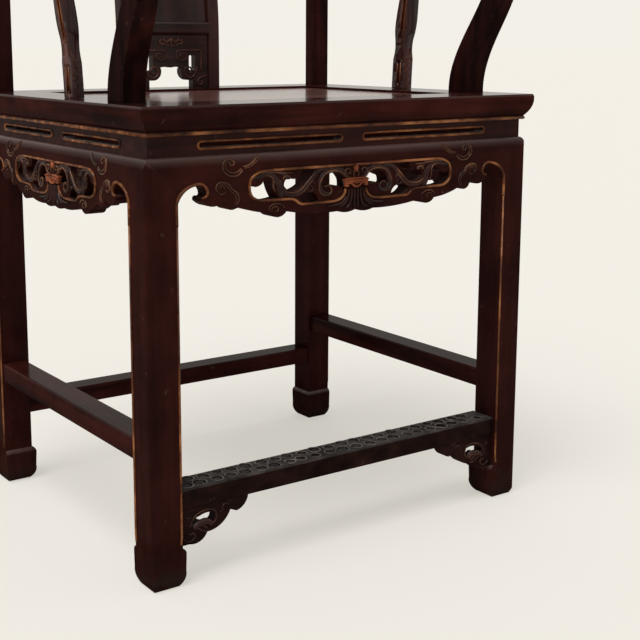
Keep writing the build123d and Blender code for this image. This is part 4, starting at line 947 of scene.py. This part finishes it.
# foot of the splat: its slots opened to their full width, then the carving on it
splatSlot = {
    "middle": 0.0344,
    "inward": 0.003,
    "outward": 0.002,
    "low": 0.543,
    "high": 0.567,
    "reach": 0.004,
    "cap": 0.0012,      # nearer than this to its middle, the slot's round end moves less
}
bm = mergedCopy("splat_apron")
for vert in bm.verts:
    aside = abs(vert.co.x) - splatSlot["middle"]
    if abs(aside) < splatSlot["reach"] and splatSlot["low"] < vert.co.z < splatSlot["high"]:
        shift = splatSlot["outward"] if aside > 0 else -splatSlot["inward"]
        shift *= min(1, abs(aside) / splatSlot["cap"])
        vert.co.x += shift * math.copysign(1, vert.co.x)
standIn(bm, "splatFoot", "splat_apron")
splatRims = (
    # line under the relief that turns down into a spiral beside each slot
    ((48.2, 545, 1.3), (48.6, 556, 1.8), (48.4, 568, 1.8), (46, 571.4, 1.8), (30, 571.6, 1.8),
     (14, 571.6, 1.8), (9.4, 570, 1.8), (8.2, 564.6, 1.8), (9.4, 560, 1.8), (14, 558, 1.8),
     (21, 558.4, 1.8), (24.4, 562, 1.8), (22.4, 566.4, 1.8), (16.8, 567, 1.6), (13.6, 563.6, 1.5),
     (16, 561.2, 1.3)),
    # curls of the foot
    ((42, 549.6, 1.2), (40, 543, 1.8), (36.4, 536.4, 2), (30, 533.4, 2), (23.4, 536, 2),
     (20.6, 542, 2), (23.4, 547.4, 2), (29.4, 548.6, 1.8), (33, 544.6, 1.6), (31, 540.4, 1.5),
     (27, 541.4, 1.2)),
    ((58, 536, 1.2), (51, 535, 1.8), (44, 531.4, 2), (42.6, 526.4, 2), (47, 524, 1.8),
     (50.4, 527.6, 1.6), (47.4, 529.4, 1.2)),
)
splatRelief = (
    ((0, 577, 2), (4.4, 578.6, 2), (8.2, 578.4, 2), (11.4, 580.8, 2), (15.4, 580.2, 2),
     (18, 583.4, 2), (15.6, 586.4, 1.8), (12.4, 584.4, 1.5)),
    ((0, 588.6, 1.5), (3.4, 585, 2.6), (7.4, 583, 2.8), (11, 586.6, 2), (12, 589.6, 1.4)),
    ((0, 581, 3), (0, 584.5, 4), (0, 588.6, 2)),
)
splatStrokes = {"rimHeight": 1.6, "reliefHeight": 2.0, "wider": 1.35}
carving("splatRims", "splat", [
    {"height": splatStrokes["rimHeight"], "sides": 6, "marks": [
        (u, v, w * splatStrokes["wider"]) for u, v, w in marks
    ]} for marks in splatRims
], splatLines)
carving("splatRelief", "splat", [
    {"marks": marks, "height": splatStrokes["reliefHeight"], "single": marks[-1][0] == 0}
    for marks in splatRelief
], splatBloom)
print("brackets and splat carved")

# side posts: straight foot blocks below a higher neck, beads along the grooves and a small swirl
sidePost = {
    "middle": -0.0105,
    "halfDepth": 0.013,
    "flank": 0.0115,     # further out than this is the block's front or back
    "blockFoot": 0.5195,
    "blockTop": 0.559,
    "margin": 1e-5,
    "cuts": (0.528, 0.534, 0.540, 0.546, 0.5505, 0.555),
    "raised": (
        (0.5195, 0.0), (0.547, 0.009), (0.560, 0.012), (0.571, 0.016), (0.600, 0.009), (0.660, 0.0),
    ),
}
grooves = {
    "middle": 10.5,
    "aside": 3.3,
    "width": 1.9,
    "height": 0.9,
    "runs": ((525, 555.5, 2), (587.5, 780, 14)),     # foot, top and number of steps
    "bud": ((-3.3, 3, 1.2), (-3.2, -1.6, 1.6), (0, -4.4, 1.8), (3.2, -1.6, 1.6), (3.3, 3, 1.2)),
    "budFoot": 586.5,
    "budHeight": 1.1,
}
swirl = {
    "height": 0.9,
    "lines": (
        ((-241, 562.4, 0.9), (-245, 562.9, 1.3), (-248.4, 562.2, 1.2)),
        ((-246.6, 561, 1.0), (-248.4, 564.6, 1.5), (-250.2, 569, 1.7), (-251.4, 574, 1.1)),
        ((-249.4, 558.6, 1.0), (-250.8, 561.4, 1.4), (-251.5, 563.8, 1.0)),
    ),
}


def neckLift(height):
    # how far the neck and its grooves are lifted at this height
    marks = sidePost["raised"]
    for (low, start), (high, end) in zip(marks, marks[1:]):
        if low <= height <= high:
            return start + (end - start) * (height - low) / (high - low)
    return 0.0


for name, sign in (("post_side_left", -1), ("post_side_right", 1)):
    bm = mergedCopy(name)
    for level in sidePost["cuts"]:
        cutAcross(bm, level)
    for vert in bm.verts:
        vert.co.z += neckLift(vert.co.z)
        aside = vert.co.y - sidePost["middle"]
        inBlock = sidePost["blockFoot"] < vert.co.z < sidePost["blockTop"] + sidePost["margin"]
        if inBlock and abs(aside) > sidePost["flank"]:
            vert.co.y = sidePost["middle"] + math.copysign(sidePost["halfDepth"], aside)
    shape = BVHTree.FromBMesh(bm)
    standIn(bm, name + "_cut", name)
    for face, middle in (("left", grooves["middle"]), ("right", -grooves["middle"])):
        strokes = [
            {"height": grooves["height"], "steps": 1, "sides": 6, "marks": [
                (middle + aside, low + (high - low) * step / steps, grooves["width"])
                for step in range(steps + 1)
            ]}
            for low, high, steps in grooves["runs"]
            for aside in (-grooves["aside"], grooves["aside"])
        ]
        # rounded bud at the foot of the long groove
        strokes.append({"height": grooves["budHeight"], "sides": 6, "marks": [
            (middle + aside, grooves["budFoot"] + rise, width)
            for aside, rise, width in grooves["bud"]
        ]})
        carving(f"{name}_beads_{face}", face, strokes, beadWoodZ, mirrored=False, onto=shape)
    carving(f"{name}_swirl", "front", [
        {"marks": [(-sign * u, v, w) for u, v, w in marks], "height": swirl["height"], "sides": 6}
        for marks in swirl["lines"]
    ], rimWood, mirrored=False, onto=shape)
print("side posts dressed")

# bead round each slot of the waist boards
slotBead = {
    "low": 18.7,
    "highs": {"front": 198.3, "left": 154.3, "right": 154.3, "rear": 198.3},
    "level": 478.0,
    "rise": 4.0,
    "width": 2.8,
    "height": 1.5,
    "turns": 6,
}
for face, high in slotBead["highs"].items():
    loop = []
    for end, start in ((high, -90), (slotBead["low"], 90)):
        for step in range(slotBead["turns"] + 1):
            angle = math.radians(start + 180 * step / slotBead["turns"])
            loop.append((end + slotBead["rise"] * math.cos(angle),
                         slotBead["level"] + slotBead["rise"] * math.sin(angle)))
    carving(f"slotBeads_{face}", "waist_" + face, [{
        "marks": loop, "width": slotBead["width"], "height": slotBead["height"], "closed": True,
        "steps": 1,
    }], beadWood)

# bead under the seat, round its four corners
seatBead = {"x": 266.4, "y": 222.4, "round": 1.6, "width": 3.4, "height": 1.9}
corner = []
for sx, sy in ((1, -1), (1, 1), (-1, 1), (-1, -1)):
    along = (sx * (seatBead["x"] - seatBead["round"]), sy * seatBead["y"])
    back = (sx * seatBead["x"], sy * (seatBead["y"] - seatBead["round"]))
    corner += [along, back] if sx * sy < 0 else [back, along]
carving("seatBead", "bead", [{
    "marks": corner, "width": seatBead["width"], "height": seatBead["height"], "closed": True,
    "steps": 1,
}], beadWood, mirrored=False)
print("waist and seat beads ready")

# rings worn into the footrest's top, each with a shallow hollow: a nearly flat dark disc, painted
# shade inside the ring
rings = {
    "seed": 11,
    "rows": (-208.3, -192.3),
    "start": -222,
    "run": 450,
    "end": 229,
    "spacing": 19.4,
    "firstAt": 0.3,        # in spacings from the start
    "rowShift": 0.5,       # the second row stands half a spacing further on
    "strayAlong": 2.2,
    "strayAcross": 1.2,
    "radius": 7.9,
    "radii": (0.80, 1.05),
    "turns": 12,
    "width": 2.1,
    "widths": (0.6, 1.15),
    "height": 1.0,
    # the hollow's stations along it and its width there, as shares of the ring's radius
    "hollow": ((-0.85, 0.7), (-0.6, 1.3), (0, 1.75), (0.6, 1.3), (0.85, 0.7)),
    "hollowHeight": 0.06,
}
chance = random.Random(rings["seed"])
ringStrokes, pitStrokes = [], []
for row, y in enumerate(rings["rows"]):
    for at in range(int(rings["run"] / rings["spacing"])):
        x = rings["start"] + rings["spacing"] * (at + rings["firstAt"] + rings["rowShift"] * row)
        x += chance.uniform(-rings["strayAlong"], rings["strayAlong"])
        across = y + chance.uniform(-rings["strayAcross"], rings["strayAcross"])
        radius = rings["radius"] * chance.uniform(*rings["radii"])
        if abs(x) > rings["end"] - radius - rings["width"]:
            continue
        marks = []
        for turn in range(rings["turns"]):
            angle = turn * math.tau / rings["turns"]
            marks.append((x + radius * math.cos(angle), across + radius * math.sin(angle),
                          rings["width"] * chance.uniform(*rings["widths"])))
        ringStrokes.append({
            "marks": marks, "height": rings["height"], "closed": True, "steps": 1, "sides": 6,
        })
        pitStrokes.append({"height": rings["hollowHeight"], "steps": 1, "sides": 12, "marks": [
            (x + radius * aside, across, radius * wide) for aside, wide in rings["hollow"]
        ]})
carving("footrestPitShade", "tread", pitStrokes, pitShadeWood, mirrored=False)
carving("footrestRings", "tread", ringStrokes, ringWood, mirrored=False)
print("footrest rings ready:", len(ringStrokes))

noteSize()
